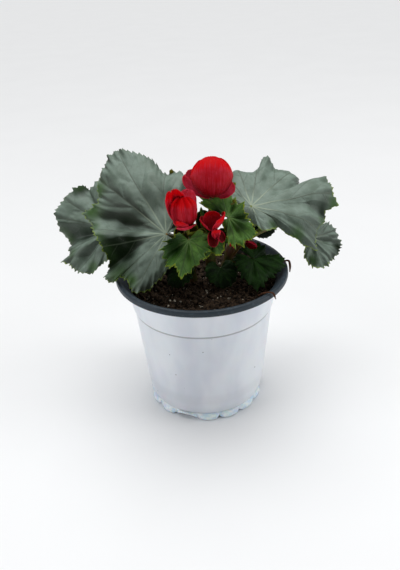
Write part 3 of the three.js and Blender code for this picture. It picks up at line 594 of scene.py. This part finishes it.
def petal_surface(name, bright, deep, rim, pale, blush):
    """A petal, deep at the foot and bright towards the tip: partly its own deep crimson base, partly
    painted shade below and painted light towards the tip. It is streaked along its length and has a pale
    rim. Some petals are paler, partly their own paler pink and partly a painted highlight, and some darker
    with the deep attribute."""
    skin = Surface(name, 0.4, 0.05, Subsurface_Weight=0.1, Subsurface_Radius=(1.0, 0.1, 0.1),
                   Subsurface_Scale=0.002)
    along = skin.read("along")
    lines = skin.node("ShaderNodeCombineXYZ", {0: skin.times(skin.read("across"), 16.0), 1: along})
    streak = skin.node("ShaderNodeTexNoise", {"Vector": lines.outputs[0], "Scale": 1.6, "Detail": 4.0})
    streak = streak.outputs["Fac"]
    # Painted shade at the foot and painted light towards the tip, over the petal's own deeper base.
    color = skin.mix(skin.step(along, 0.05, 0.55, 0.0, 0.6), deep, bright)
    color = skin.mix(skin.step(streak, 0.45, 0.7, 0.0, 0.4), color, deep)
    # Painted light: the tip brightened like the lit top of a bloom.
    lit_tip = skin.step(skin.math("ADD", along, skin.step(streak, 0.3, 0.7, -0.07, 0.07)), 0.62, 0.84)
    color = skin.mix(lit_tip, color, bright)
    pink = skin.times(skin.step(streak, 0.35, 0.6, 0.85, 0.1), skin.step(lit_tip, 0, 1, 1.0, 0.05))
    # Painted highlight: the paler petals' pink, partly their own paler colour.
    pink = skin.math("ADD", pink, skin.read("blush"))
    pink = skin.times(pink, skin.step(skin.noise(4), 0.3, 0.7, 0.35, 0.9))
    color = skin.mix(pink, color, skin.mix(skin.step(along, 0.2, 0.8), pale, blush))
    color = skin.mix(skin.read("deep"), color, deep)
    color = skin.mix(skin.step(skin.read("edge"), 0.1, 0.8, 0.6, 0.0), color, rim)
    return skin.finish(color, skin.bump(skin.noise(1.1), 0.05, skin.bump(streak, 0.3)))


# Upper faces: specular, then the light, dark, shade, green, lime and vein colours.
LEAF_FACES = {
    tone: leaf_surface(tone + "_leaf_face", *look) for tone, look in {
        # The grey tone's greys are partly the leaves' own waxy bloom and partly a painted sheen.
        "grey": (0.4, "#809286", "#6a7c6e", "#10200a", "#2c5012", "#80961e", "#a2b098"),
        "green": (0.2, "#588036", "#3a601e", "#0e2406", "#1a3e06", "#88961a", "#7c9660"),
        # The dark tone is a darker copy for the leaves that lie in the plant's shade: painted shade.
        "dark": (0.1, "#1c3a0e", "#0c2404", "#081604", "#081e02", "#324a0e", "#244016"),
    }.items()
}
LEAF_BACKS = {
    "grey": underside_surface("grey_leaf_back", "#546a3a", "#344e1c", "#78864c"),
    "green": underside_surface("green_leaf_back", "#4a6628", "#2a4812", "#70823c"),
    # The dark backs are likewise darkened with painted shade.
    "dark": underside_surface("dark_leaf_back", "#284016", "#142a08", "#405424"),
}
# The stems are darker than the stalks, partly their own colour and partly painted shade where they stand in
# the plant's shade.
STEM = stem_surface("stem_skin", "#4a5820", "#5c3822", "#462218")
STALK = stem_surface("leaf_stalk_skin", "#6c7a2c", "#78622c", "#54301e")
PETAL_SKINS = {
    "petal": petal_surface("red_petal", "#ce0008", "#4a0003", "#c4283e", "#a42236", "#d6445e"),
    "leaf": petal_surface("green_leaflet", "#32541a", "#142c08", "#607422", "#2c4818", "#3c5a28"),
    "bract": petal_surface("green_bract", "#5c6a1e", "#22380c", "#848232", "#604622", "#6e5430"),
}


# -------- leaves
def vein_lines(leaf, seed):
    """Main veins from the joint and side veins off them, as (start, end, start width, end width, rank)
    of straight pieces on the flattened leaf."""
    rng = np.random.default_rng(seed)
    margin, mains = leaf["margin"], sorted(leaf["veins"])
    between = [min(margin)] + [(a + b) / 2 for a, b in zip(mains, mains[1:])] + [max(margin)]
    biggest = max(margin.values())
    gap, side_step = 1.5, 1.2
    pieces = []

    def line(points, wide, thin, rank):
        widths = np.linspace(wide, thin, len(points))
        pieces.extend(zip(points, points[1:], widths, widths[1:], [rank] * len(points)))

    for low, angle, high in zip(between, mains, between[1:]):
        bend = rng.uniform(-5, 5)
        length = 0.97 * float(smooth(margin, angle))
        wide = 0.14 + 0.26 * length / biggest
        main = [polar(angle + bend * (share - share**2), share * length) for share in np.linspace(0, 1, 13)]
        line(main, wide, 0.12, 1.0)
        side = 1 if rng.random() < 0.5 else -1
        for share in np.arange(0.2, 0.92, 0.115 + 1.2 / length):
            side = -side
            heading = angle + side * rng.uniform(34, 46)
            points = [polar(angle + bend * (share - share**2), share * length)]
            for _ in range(60):
                heading += side * rng.uniform(-1.5, 0.2)
                ahead = points[-1] + polar(heading, side_step)
                turn = math.degrees(math.atan2(ahead[1], ahead[0]))
                turn += 360 * round((angle - turn) / 360)
                if not low + gap < turn < high - gap or np.hypot(*ahead) > 0.96 * smooth(margin, turn):
                    break
                points.append(ahead)
            if len(points) > 2:
                line(points, wide * 0.45, 0.08, 0.62)
                for step in range(3, len(points) - 2, 4):
                    fork = heading + side * rng.uniform(28, 42) * (1 if step % 8 else -1)
                    twig = [points[step] + polar(fork, run) for run in (0, 1.4, 2.8, 4.0)]
                    line(twig, wide * 0.22, 0.05, 0.35)
    return pieces


def vein_field(flat, pieces):
    """At each flat point: how far it is from the nearest vein's edge, that vein's rank, and how far it is
    from any main or side vein."""
    nearest, rank, ribs = np.full(len(flat), 99.0), np.zeros(len(flat)), np.full(len(flat), 99.0)
    for start, end, wide, thin, level in pieces:
        run = end - start
        t = np.clip(((flat - start) @ run) / max(run @ run, 1e-9), 0, 1)
        away = np.hypot(*(flat - start - t[:, None] * run).T)
        edge = (away - (wide + (thin - wide) * t)) / level
        rank = np.where(edge < nearest, level, rank)
        nearest = np.minimum(edge, nearest)
        if level > 0.5:
            ribs = np.minimum(ribs, away)
    return np.clip(nearest, -1, 6), rank, ribs


def margin_angles(margin, count):
    """Angles that step evenly along the margin, and how far along it they lie."""
    angles = np.linspace(min(margin), max(margin), 1441)
    run = run_along(polar(angles, smooth(margin, angles)))
    even = np.linspace(0, run[-1], count + 1)
    return np.interp(even, run, angles), even


def toothed(run, depth, period, seed):
    """How far the margin stands out along its run: uneven pointed teeth with smaller ones on them."""
    rng = np.random.default_rng(seed)

    def saw(spacing, lean):
        turn = run / spacing + 0.35 * waves(run, seed + 1, 6 * spacing, 1) + 2
        tall = rng.uniform(0.4, 1.3, int(turn.max()) + 2)[turn.astype(int)]
        part = turn % 1
        return tall * np.where(part < lean, part / lean, (1 - part) / (1 - lean)) ** 1.4

    return depth * (saw(period, 0.68) - 0.45 + 0.35 * saw(period / 2.7, 0.6) - 0.15)


def distance_to(leaf, angle, share, flat):
    """How far the flat points lie from the point at that angle and share of the leaf's reach."""
    return np.hypot(*(flat - polar(angle, smooth(leaf["margin"], angle) * share)).T)


def spots(leaf, places, flat):
    """How strongly each flat point lies in one of the round [angle, share, radius, strength] places."""
    strongest = np.zeros(len(flat))
    for at, share, radius, strength in places:
        inside = 1 - ease(0.1 * radius, 1.15 * radius, distance_to(leaf, at, share, flat))
        strongest = np.maximum(strongest, strength * inside)
    return strongest


def blade_sheet(leaf, seed):
    """The blade's upper face: the same curves as the solid, with teeth, ruffles, deep folds and relief
    between the veins. Returns its points and what its surface reads there."""
    margin = leaf["margin"]
    angles, run = margin_angles(margin, leaf["cells"])
    angle, share = np.meshgrid(angles, np.linspace(0, 1, leaf["rows"] + 1)[1:] ** 0.93)
    reach = smooth(margin, angles)
    broad = ease(*TOOTHED_REACH, reach)
    edge = reach * (1 - share)
    notch = toothed(run, leaf["teeth"], leaf["period"], seed) * broad * np.exp(-edge / 3.2)
    curl = np.radians(smooth(leaf["curl"], angles))
    curl = np.where(np.abs(curl) < 1e-6, 1e-6, curl)
    rolling = (1 - FLAT_SHARE) * reach
    turned = curl * np.maximum(0, (share - FLAT_SHARE) / (1 - FLAT_SHARE))
    along = np.minimum(share, FLAT_SHARE) * reach + rolling * np.sin(turned) / curl + notch
    height = rolling * (1 - np.cos(turned)) / curl + smooth(leaf["lift"], angles) * share**2
    for at, depth, width, kept, *start in leaf["folds"]:
        start = start[0] if start else 0
        sunk = ease(start, min(start + 0.5, 1), share) * (1 - (1 - kept) * ease(0.6, 1, share))
        height = height - depth * bell(angle - at, width) * sunk
    flat = polar(angle, share * reach + notch).reshape(-1, 2)
    for at, reach_share, depth, radius in leaf["dents"]:
        away = distance_to(leaf, at, reach_share, flat).reshape(angle.shape)
        height = height - depth * bell(away, radius)
    vein, rank, ribs = vein_field(flat, vein_lines(leaf, seed))
    ruffle = waves(np.broadcast_to(run, angle.shape), seed + 2, 15.0, 2) * 1.7 * np.exp(-edge / 5) * broad
    puff = leaf["puff"] * (1 - np.exp(-((ribs / 2.3) ** 1.3))).reshape(angle.shape)
    sway = grain(np.column_stack([flat, np.full(len(flat), seed)]), 20, 0, 2).reshape(angle.shape)
    height = height + ruffle + puff * ease(0.05, 0.45, share) * ease(0.3, 4, edge) - 0.4 * puff.mean()
    height = height + 1.6 * sway * ease(0, 0.4, share)
    normal = unit(leaf["face"])
    right = unit(np.cross([0, 0, 1], normal))
    sheet = polar(angle, along) @ [right, np.cross(normal, right)]
    sheet = leaf["at"] + sheet + height[..., None] * normal
    skin = np.cross(np.gradient(sheet, axis=0), np.gradient(sheet, axis=1))
    rise = skin[..., 2] / np.linalg.norm(skin, axis=-1)
    # Painted shade in the listed hollows.
    hollow_shade = spots(leaf, leaf["shades"], flat)
    # Painted shade: the blade darkens where it faces away from above.
    bare = leaf["turned_shade"] * (1 - ease(0.15, 0.95, rise))
    # Away from the joint the veins carry painted shade along their creases.
    far = ease(0.12, 0.5, share).ravel()
    return sheet.reshape(-1, 3), {
        "vein": vein, "rank": rank * (1 - 0.8 * far) * leaf["pale"], "crease": rank * far,
        "edge": edge.ravel(), "lime": smooth(leaf["lime"], angle).ravel(), "hollow_shade": hollow_shade,
        "patch": spots(leaf, leaf["patches"], flat), "bare": np.maximum(bare.ravel(), hollow_shade),
    }


def grow_leaf(name, leaf, seed):
    """The blade, closed by a fan round its joint, and its stalk."""
    tone, columns = leaf["tone"], leaf["cells"] + 1
    points, facts = blade_sheet(leaf, seed)
    at_joint = {"rank": leaf["pale"], "edge": 20, "bare": facts["bare"][:columns].mean()}
    facts = {key: np.append(values, at_joint.get(key, 0)) for key, values in facts.items()}
    faces = grid_faces(leaf["rows"], columns).tolist()
    faces += [[len(points), j, j + 1] for j in range(columns - 1)]
    points = np.vstack([points, leaf["at"] + unit(leaf["face"]) * 0.1])
    blade = build(name + "_blade", points, faces, [LEAF_FACES[tone], LEAF_BACKS[tone]], facts)
    seat(thicken(blade, BLADE_THICKNESS, under=1), name)
    joint = leaf["at"] - unit(leaf["face"]) * 0.7
    rod = tube(name + "_stalk", [*leaf["stalk"], joint], leaf["radius"], STALK, 20, 60, STALK_SWELL)
    seat(rod, name)


for order, (name, leaf) in enumerate(LEAVES.items()):
    grow_leaf(name, PLAIN_LEAF | leaf, 100 + 10 * order)


# -------- blooms
def petal_points(petal, along, side, seed):
    """The petal's outer face, as on the solid, with a ruffled rim and faint creases."""
    power, length, width = petal["round"], petal["length"], petal["width"]
    beyond = np.maximum(along - WIDEST_SHARE, 0) / (1 - WIDEST_SHARE)
    wide = np.where(
        along < WIDEST_SHARE,
        PETAL_FOOT + (1 - PETAL_FOOT) * np.sin(math.pi / 2 * along / WIDEST_SHARE),
        np.clip(1 - beyond**power, 0, 1) ** (1 / power),
    )
    heading = np.radians(petal["open"] - petal["bend"] * along)
    start = math.radians(petal["open"])
    spine = length / math.radians(petal["bend"])
    across = width / math.radians(petal["cup"])
    roll = side * math.radians(petal["cup"] / 2) * wide
    rim = np.maximum(np.abs(side) ** 4, ease(0.8, 1, along))
    size = min(1, length / 24) * petal["ruffle"]
    ruffle = waves(along * length + side * width, seed, 9.0, 2) * 0.6 * rim * size
    crease = 0.2 * waves(side * width * 0.5, seed + 1, 3.2, 2) * ease(0, 0.3, along) * (1 - rim) * size
    sink = across * (1 - np.cos(roll)) - ruffle - crease
    for at, depth, breadth in petal["grooves"]:
        sink = sink + depth * bell(side - at, breadth) * ease(0.1, 0.6, along)
    return np.stack([
        spine * (np.cos(heading) - math.cos(start)) - sink * np.cos(heading),
        across * np.sin(roll),
        spine * (math.sin(start) - np.sin(heading)) + sink * np.sin(heading),
    ], -1)


def petal_mesh(petal, seed):
    """A petal about an upright axis: its points, its faces and what its surface reads."""
    rows, cells = (max(least, int(petal[key] * 1.5)) for least, key in ((14, "length"), (12, "width")))
    side, along = np.meshgrid(
        np.linspace(1, -1, cells + 1), 0.985 * np.sin(math.pi / 2 * np.linspace(0, 1, rows + 1)))
    turn = Matrix.Rotation(math.radians(petal["turn"]), 3, "Z")
    points = petal_points(petal, along, side, seed).reshape(-1, 3) @ np.array(turn).T
    edge = np.minimum((1 - np.abs(side)) * petal["width"] / 2, (1 - along) * petal["length"])
    facts = {"along": along, "across": side * petal["width"] / 20 + seed, "edge": edge}
    facts |= {key: np.full(along.shape, float(petal[key])) for key in ("blush", "deep")}
    return points, grid_faces(rows + 1, cells + 1), facts


def bloom(name, node, base, bloom_axis, petals, seed, skin):
    """All petals of a bloom in one piece, on its tilted axis or each on a lean of its own."""
    points, faces, facts, count = [], [], [], 0
    for order, petal in enumerate(petals):
        verts, quads, values = petal_mesh(petal, seed + order)
        axis = Vector(petal.get("lean", bloom_axis))
        tilt = np.array(Vector((0, 0, 1)).rotation_difference(axis).to_matrix())
        points.append(verts @ tilt.T + base)
        faces.append(quads + count)
        facts.append(values)
        count += len(verts)
    facts = {key: np.concatenate([values[key].ravel() for values in facts]) for key in facts[0]}
    piece = build(name, np.concatenate(points), np.concatenate(faces).tolist(), [PETAL_SKINS[skin]], facts)
    seat(thicken(piece, PETAL_THICKNESS), node)


for order, (name, (base, axis, petals)) in enumerate(BLOOMS.items()):
    bloom(name + "_petals", name, base, axis, petals, 300 + 20 * order, "petal")

for order, (name, (node, skin, base, axis, start, length, width, opening)) in enumerate(SPRIGS.items()):
    petals = [
        petal(120 * k - 80 + 20 * order, opening, length * (1 - 0.1 * k), width, opening + 22, 120)
        for k in range(3)
    ]
    bloom(name, node, base, axis, petals, 400 + 10 * order, skin)
    start, end = np.array(start, float), np.array(base, float)
    path = [start, (start + end) / 2 + [0, 1.5, -1], end]
    stalk = tube(name + "_stalk", path, SPRIG_STALK_RADIUS, STALK, 10, 24, {0: 1})
    seat(stalk, node)


# -------- stems and debris
for name, rods in STEMS.items():
    for k, (points, radius) in enumerate(rods):
        seat(tube(f"{name}_{k}", points, radius, STEM, 24, 70, STEM_SWELL), name)

DRY = Surface("dry_debris", 0.9, 0.2)
FIBRE = DRY.noise(1.5, 4, stretch=(1, 1, 4))
DRY_BROWN = DRY.finish(DRY.mix(FIBRE, "#22120c", "#603c26"), DRY.bump(FIBRE, 0.4))
for name, (points, radius) in DEBRIS.items():
    seat(tube(name + "_strip", points, radius, DRY_BROWN, 12, 40, DEBRIS_SWELL), name)


# -------- pot
def rounded(corners, radius, steps=4):
    """A line through [x, y] corners with each inner corner rounded."""
    corners = np.array(corners, float)
    line = [corners[0]]
    for before, corner, after in zip(corners, corners[1:], corners[2:]):
        back, ahead = before - corner, after - corner
        reach = min(radius, 0.45 * np.linalg.norm(back), 0.45 * np.linalg.norm(ahead))
        start, end = corner + unit(back) * reach, corner + unit(ahead) * reach
        for t in np.linspace(0, 1, steps + 1):
            line.append((1 - t) ** 2 * start + 2 * t * (1 - t) * corner + t * t * end)
    return line + [corners[-1]]


def subdivided(line, longest):
    """Adds points so that no step of the line is longer than `longest`."""
    points = [line[0]]
    for a, b in zip(line, line[1:]):
        count = max(1, math.ceil(np.linalg.norm(b - a) / longest))
        points += [a + (b - a) * k / count for k in range(1, count + 1)]
    return points


UNDER_LIP = RIM_HEIGHT - LIP_DEPTH
INNER_RADIUS = FLARE_RADIUS - WALL
POT_LINES = {
    "outside": ([
        (0, BASE_HEIGHT), (BASE_RADIUS - 0.6, BASE_HEIGHT), (BASE_RADIUS + 0.3, BASE_HEIGHT + 1.2),
        (BASE_RADIUS + 2.0, BASE_HEIGHT + 8), (GROOVE_RADIUS - 0.5, GROOVE_HEIGHT - 1.4),
        (GROOVE_RADIUS - 0.75, GROOVE_HEIGHT - 0.3), (GROOVE_RADIUS + 0.5, GROOVE_HEIGHT + 1.0),
        (FLARE_RADIUS, UNDER_LIP - 1), (RIM_RADIUS - 2.2, UNDER_LIP - 0.2),
    ], 1.2),
    "lip": ([
        (RIM_RADIUS - 2.2, UNDER_LIP - 0.2), (RIM_RADIUS - 0.4, UNDER_LIP + 0.1),
        (RIM_RADIUS, UNDER_LIP + 1.2), (RIM_RADIUS - 0.3, RIM_HEIGHT - 0.9), (RIM_RADIUS - 1.5, RIM_HEIGHT),
        (RIM_RADIUS - 3.2, RIM_HEIGHT - 0.3), (RIM_RADIUS - LIP_WIDTH, RIM_HEIGHT - 1.0),
        (INNER_RADIUS + 0.6, UNDER_LIP - 0.6), (INNER_RADIUS, UNDER_LIP - 1.6),
    ], 0.9),
    "inside": ([
        (INNER_RADIUS, UNDER_LIP - 1.6), (GROOVE_RADIUS - WALL, GROOVE_HEIGHT),
        (BASE_RADIUS - WALL, BASE_HEIGHT + WALL), (0, BASE_HEIGHT + WALL),
    ], 1.0),
}


def pot_wall():
    """White plastic with painted shade in its groove, at its foot's step and under the lip, a faint darker
    band low on the wall, and a few dark specks.
    """
    skin = Surface("pot_wall_plastic", 0.38, 0.5, Subsurface_Weight=0.15, Subsurface_Scale=0.004,
                   Coat_Weight=0.15, Coat_Roughness=0.25)
    cloud = skin.step(skin.noise(28, stretch=(1, 1, 2.5)), 0.3, 0.7)
    color = skin.mix(cloud, "#d2d7e1", "#e6eaf0")
    height = skin.node("ShaderNodeSeparateXYZ", {0: skin.place}).outputs["Z"]
    # Painted shade in the groove, at the foot's step and under the lip, and a faint darker band at 21 mm.
    ledges = [(GROOVE_HEIGHT - 0.5, 1.1, 0.5), (BASE_HEIGHT + 0.6, 0.8, 0.5), (21, 7, 0.05),
              (UNDER_LIP - 1, 5, 0.32)]
    for ledge, half, depth in ledges:
        off = skin.math("ABSOLUTE", skin.math("SUBTRACT", height, ledge * MM), 0.0)
        color = skin.mix(skin.step(off, 0.3 * half * MM, half * MM, depth, 0.0), color, "#605c56")
    color = skin.mix(skin.step(skin.cells(11, "F1"), 0.03, 0.06, 0.85, 0.0), color, "#54504e")
    flow = skin.bump(skin.noise(2.2, 2, stretch=(1, 1, 14)), 0.02)
    return skin.finish(color, skin.bump(skin.noise(16, 2), 0.12, flow), skin.step(cloud, 0, 1, 0.34, 0.42))


def pot_lip():
    skin = Surface("pot_rim_plastic", 0.42, 0.25)
    scuff = skin.step(skin.noise(3.5, 4, stretch=(1, 1, 0.4)), 0.5, 0.75)
    color = skin.mix(scuff, "#2c363e", "#3e4a54")
    return skin.finish(color, skin.bump(skin.noise(2), 0.06), skin.step(scuff, 0, 1, 0.4, 0.55))


def pot_inside():
    skin = Surface("pot_inner_plastic", 0.5, 0.4)
    smear = skin.noise(6, 5)
    color = skin.mix(skin.step(smear, 0.4, 0.65), "#282a2c", "#2e241a")
    return skin.finish(color, skin.bump(smear, 0.2))


def pot_foot():
    skin = Surface("pot_foot_plastic", 0.22, 0.6, Subsurface_Weight=0.3, Subsurface_Scale=0.01)
    haze = skin.step(skin.noise(3.5), 0.35, 0.65)
    return skin.finish(skin.mix(haze, "#d8eafc", "#f4faff"), skin.bump(haze, 0.2))


def pot_shell():
    """The wall, lip and inside, turned about the axis as one closed line."""
    parts = [np.array(subdivided(rounded(*line), 4)) for line in POT_LINES.values()]
    profile = np.concatenate([parts[0], parts[1][1:], parts[2][1:]])
    slots = np.repeat([0, 1, 2], [len(part) - 1 for part in parts])
    angle = np.linspace(0, 360, POT_TURNS, endpoint=False)
    points = np.concatenate([ring(radius, height, angle) for radius, height in profile])
    faces = grid_faces(len(profile), POT_TURNS, closed=True)[:, ::-1].tolist()
    materials = [pot_wall(), pot_lip(), pot_inside()]
    shell = build("pot_shell", points, faces, materials, slots=np.repeat(slots, POT_TURNS))
    seat(shell, "pot")


def foot_ring():
    """The foot: a ring of lobes with scallops between them, and arches where water drains."""
    inner, outer = BASE_RADIUS - FOOT_WIDTH, BASE_RADIUS - 0.4
    lobe, middle, top = 360 / FOOT_LOBES, (inner + outer) / 2, BASE_HEIGHT + 0.2
    angle = np.arange(FOOT_TURNS) * 360 / FOOT_TURNS
    off = (angle - FRONT) % lobe
    off = np.minimum(off, lobe - off)
    index = np.round((angle - FRONT) / lobe).astype(int) % FOOT_LOBES
    rng = np.random.default_rng(5)
    size, depth = rng.uniform(0.7, 1.35, FOOT_LOBES)[index], rng.uniform(0.8, 1.7, FOOT_LOBES)[index]
    near = middle * np.radians(lobe / 2 - off) / (SCALLOP_RADIUS * 0.9 * size)
    low = depth * SCALLOP_DEPTH * np.clip(1 - near, 0, 1) ** 0.7
    arch = middle * math.sin(math.radians(lobe / 2))
    rise = np.sqrt(np.clip(arch**2 - (middle * np.radians(off)) ** 2, 0, None)) - arch + DRAIN_TOP
    low = np.where(np.isin(index, DRAIN_LOBES), np.maximum(low, rise), low)
    puff = 2.3 * size * np.cos(np.radians(off / (lobe / 2) * 90)) ** 0.6 - 0.4
    rings = [
        ring(radius + puff * swell, low + (top - low) * share, angle)
        for radius, share, swell in [
            (inner, 1, 0), (inner, 0.5, 0), (inner + 0.3, 0.08, 0), (inner + 1.0, 0, 0), (middle, 0, 0),
            (outer - 1.8, 0, 0.3), (outer - 0.8, 0.05, 0.8), (outer - 0.2, 0.2, 1), (outer, 0.45, 1),
            (outer, 0.75, 0.6), (outer - 0.1, 0.95, 0), (outer - 0.6, 1.02, 0),
        ]
    ]
    faces = grid_faces(len(rings), FOOT_TURNS, closed=True)[:, ::-1].tolist()
    seat(build("pot_foot", np.concatenate(rings), faces, [pot_foot()]), "pot")


pot_shell()
foot_ring()


# -------- soil
def soil_height(x, y):
    """The bumpy top, as on the solid, level at the wall."""
    inside = np.clip((SOIL_RADIUS - np.hypot(x, y)) / 6, 0, 1)
    bump = np.sin(0.23 * x + 1) * np.cos(0.19 * y) + 0.6 * np.sin(0.41 * x - 0.37 * y)
    return SOIL_HEIGHT + SOIL_BUMP * bump * inside


def soil_material():
    skin = Surface("peat_soil", 0.95, 0.15)
    clod = skin.noise(2.2, 5)
    color = skin.mix(skin.step(clod, 0.35, 0.65), "#140f0b", "#44362a")
    color = skin.mix(skin.step(skin.noise(0.8), 0.6, 0.75), color, "#7a6448")
    color = skin.mix(skin.read("pale"), color, "#d8d0be")
    return skin.finish(color, skin.bump(skin.noise(0.7, 4), 0.35, skin.bump(clod, 0.5)))


def soil_bed(material):
    """The soil's rough top, its side and its bottom."""
    angle = np.linspace(0, 360, SOIL_TURNS, endpoint=False)
    radius, turn = np.meshgrid(np.linspace(0.01, 1, SOIL_ROWS) * (SOIL_RADIUS + 0.2), angle, indexing="ij")
    x, y = polar(turn, radius).reshape(-1, 2).T
    top = np.column_stack([x, y, soil_height(x, y)])
    top[:, 2] += 0.9 * grain(top, 5, 1) + 0.55 * grain(top, 1.8, 2) - 0.3
    bottom = BASE_HEIGHT + WALL + 0.3
    wall = WALL + 0.2
    below = [(GROOVE_RADIUS - wall, GROOVE_HEIGHT), (BASE_RADIUS - wall, bottom), (0.01, bottom)]
    points = np.concatenate([top] + [ring(radius, height, angle) for radius, height in below])
    faces = grid_faces(SOIL_ROWS + len(below), SOIL_TURNS, closed=True).tolist()
    seat(build("soil_bed", points, faces, [material], {"pale": np.zeros(len(points))}), "soil")


def lump():
    """An icosphere's points and faces."""
    mesh = bmesh.new()
    bmesh.ops.create_icosphere(mesh, subdivisions=2, radius=1)
    points = np.array([vert.co[:] for vert in mesh.verts])
    faces = np.array([[vert.index for vert in face.verts] for face in mesh.faces])
    mesh.free()
    return points, faces


def soil_crumbs(material):
    """Peat crumbs and pale perlite grains that lie on the bed."""
    ball, triangles = lump()
    points, faces, pale = [], [], []
    for k in range(CRUMBS):
        white = k % PALE_EVERY == 0
        radius = (SOIL_RADIUS - 1) * math.sqrt(RANDOM.random())
        x, y = polar(RANDOM.uniform(0, 360), radius)
        size = RANDOM.uniform(0.3, 0.85) if white else RANDOM.gamma(4, 0.22) + 0.3
        stretch = RANDOM.uniform(0.6, 1.3, 3)
        rough = 1 + 0.35 * np.sin(ball @ RANDOM.normal(0, 2.6, 3) + RANDOM.uniform(0, 6))
        spin = np.linalg.qr(RANDOM.normal(0, 1, (3, 3)))[0]
        crumb = (ball * rough[:, None] * stretch * size) @ spin
        points.append(crumb + [x, y, soil_height(x, y) + 0.25 * size])
        faces.append(triangles + k * len(ball))
        pale.append(np.full(len(ball), RANDOM.uniform(0.1, 0.75) if white else 0.0))
    points, faces = np.concatenate(points), np.concatenate(faces).tolist()
    crumbs = build("soil_crumbs", points, faces, [material], {"pale": np.concatenate(pale)})
    seat(crumbs, "soil")


PEAT = soil_material()
soil_bed(PEAT)
soil_crumbs(PEAT)


# -------- floor, light and camera
def floor():
    skin = Surface("floor_paper", 0.8, 0.1)
    skin.set(skin.shader, {"Base Color": skin.mix(skin.noise(120, 2), "#eeeff0", "#f2f3f4")})
    corners = [(x * FLOOR_REACH, y * FLOOR_REACH, 0) for x, y in ((-1, -1), (1, -1), (1, 1), (-1, 1))]
    build("floor", corners, [(0, 1, 2, 3)], [skin.material])


def lamp(name, kind, power, toward, place=(0, 0, 0), **settings):
    """A light of that kind and power that shines toward a direction."""
    light = bpy.data.lights.new(name, kind)
    light.energy = power
    for key, value in settings.items():
        setattr(light, key, value)
    stand = bpy.data.objects.new(name, light)
    stand.location = Vector(place) * MM
    stand.rotation_euler = Vector(toward).to_track_quat("-Z", "Y").to_euler()
    bpy.context.scene.collection.objects.link(stand)


def softbox(name, place, power):
    toward = Vector((0, 0, LIGHT_AIM)) - Vector(place)
    lamp(name, "AREA", power, toward, place, shape="DISK", size=SOFTBOX_SIZE * MM)


def camera():
    """A camera about 450 mm from the plant's middle, above it and slightly rolled."""
    lens = bpy.data.cameras.new("camera")
    lens.sensor_width, lens.lens = SENSOR, LENS
    eye = bpy.data.objects.new("camera", lens)
    eye.rotation_mode = "QUATERNION"
    eye.location = Vector(CAMERA_PLACE) * MM
    pitch, roll = math.radians(90 - CAMERA_DOWN), math.radians(CAMERA_ROLL)
    look = Matrix.Rotation(pitch, 3, "X") @ Matrix.Rotation(roll, 3, "Z")
    eye.rotation_quaternion = look.to_quaternion()
    bpy.context.scene.collection.objects.link(eye)
    bpy.context.scene.camera = eye


floor()
lamp("overhead", "SUN", SKY_POWER, (0.02, -0.26, -1), angle=math.radians(SKY_SPREAD))
softbox("left_softbox", (-1100, -300, 500), 3.4)
softbox("right_softbox", (1100, -200, 500), 4.0)
world = bpy.data.worlds.new("studio")
world.use_nodes = True
background = world.node_tree.nodes["Background"]
background.inputs["Color"].default_value = (1, 1, 1, 1)
background.inputs["Strength"].default_value = WORLD_LIGHT
bpy.context.scene.world = world
bpy.context.scene.view_settings.view_transform = "Standard"
camera()
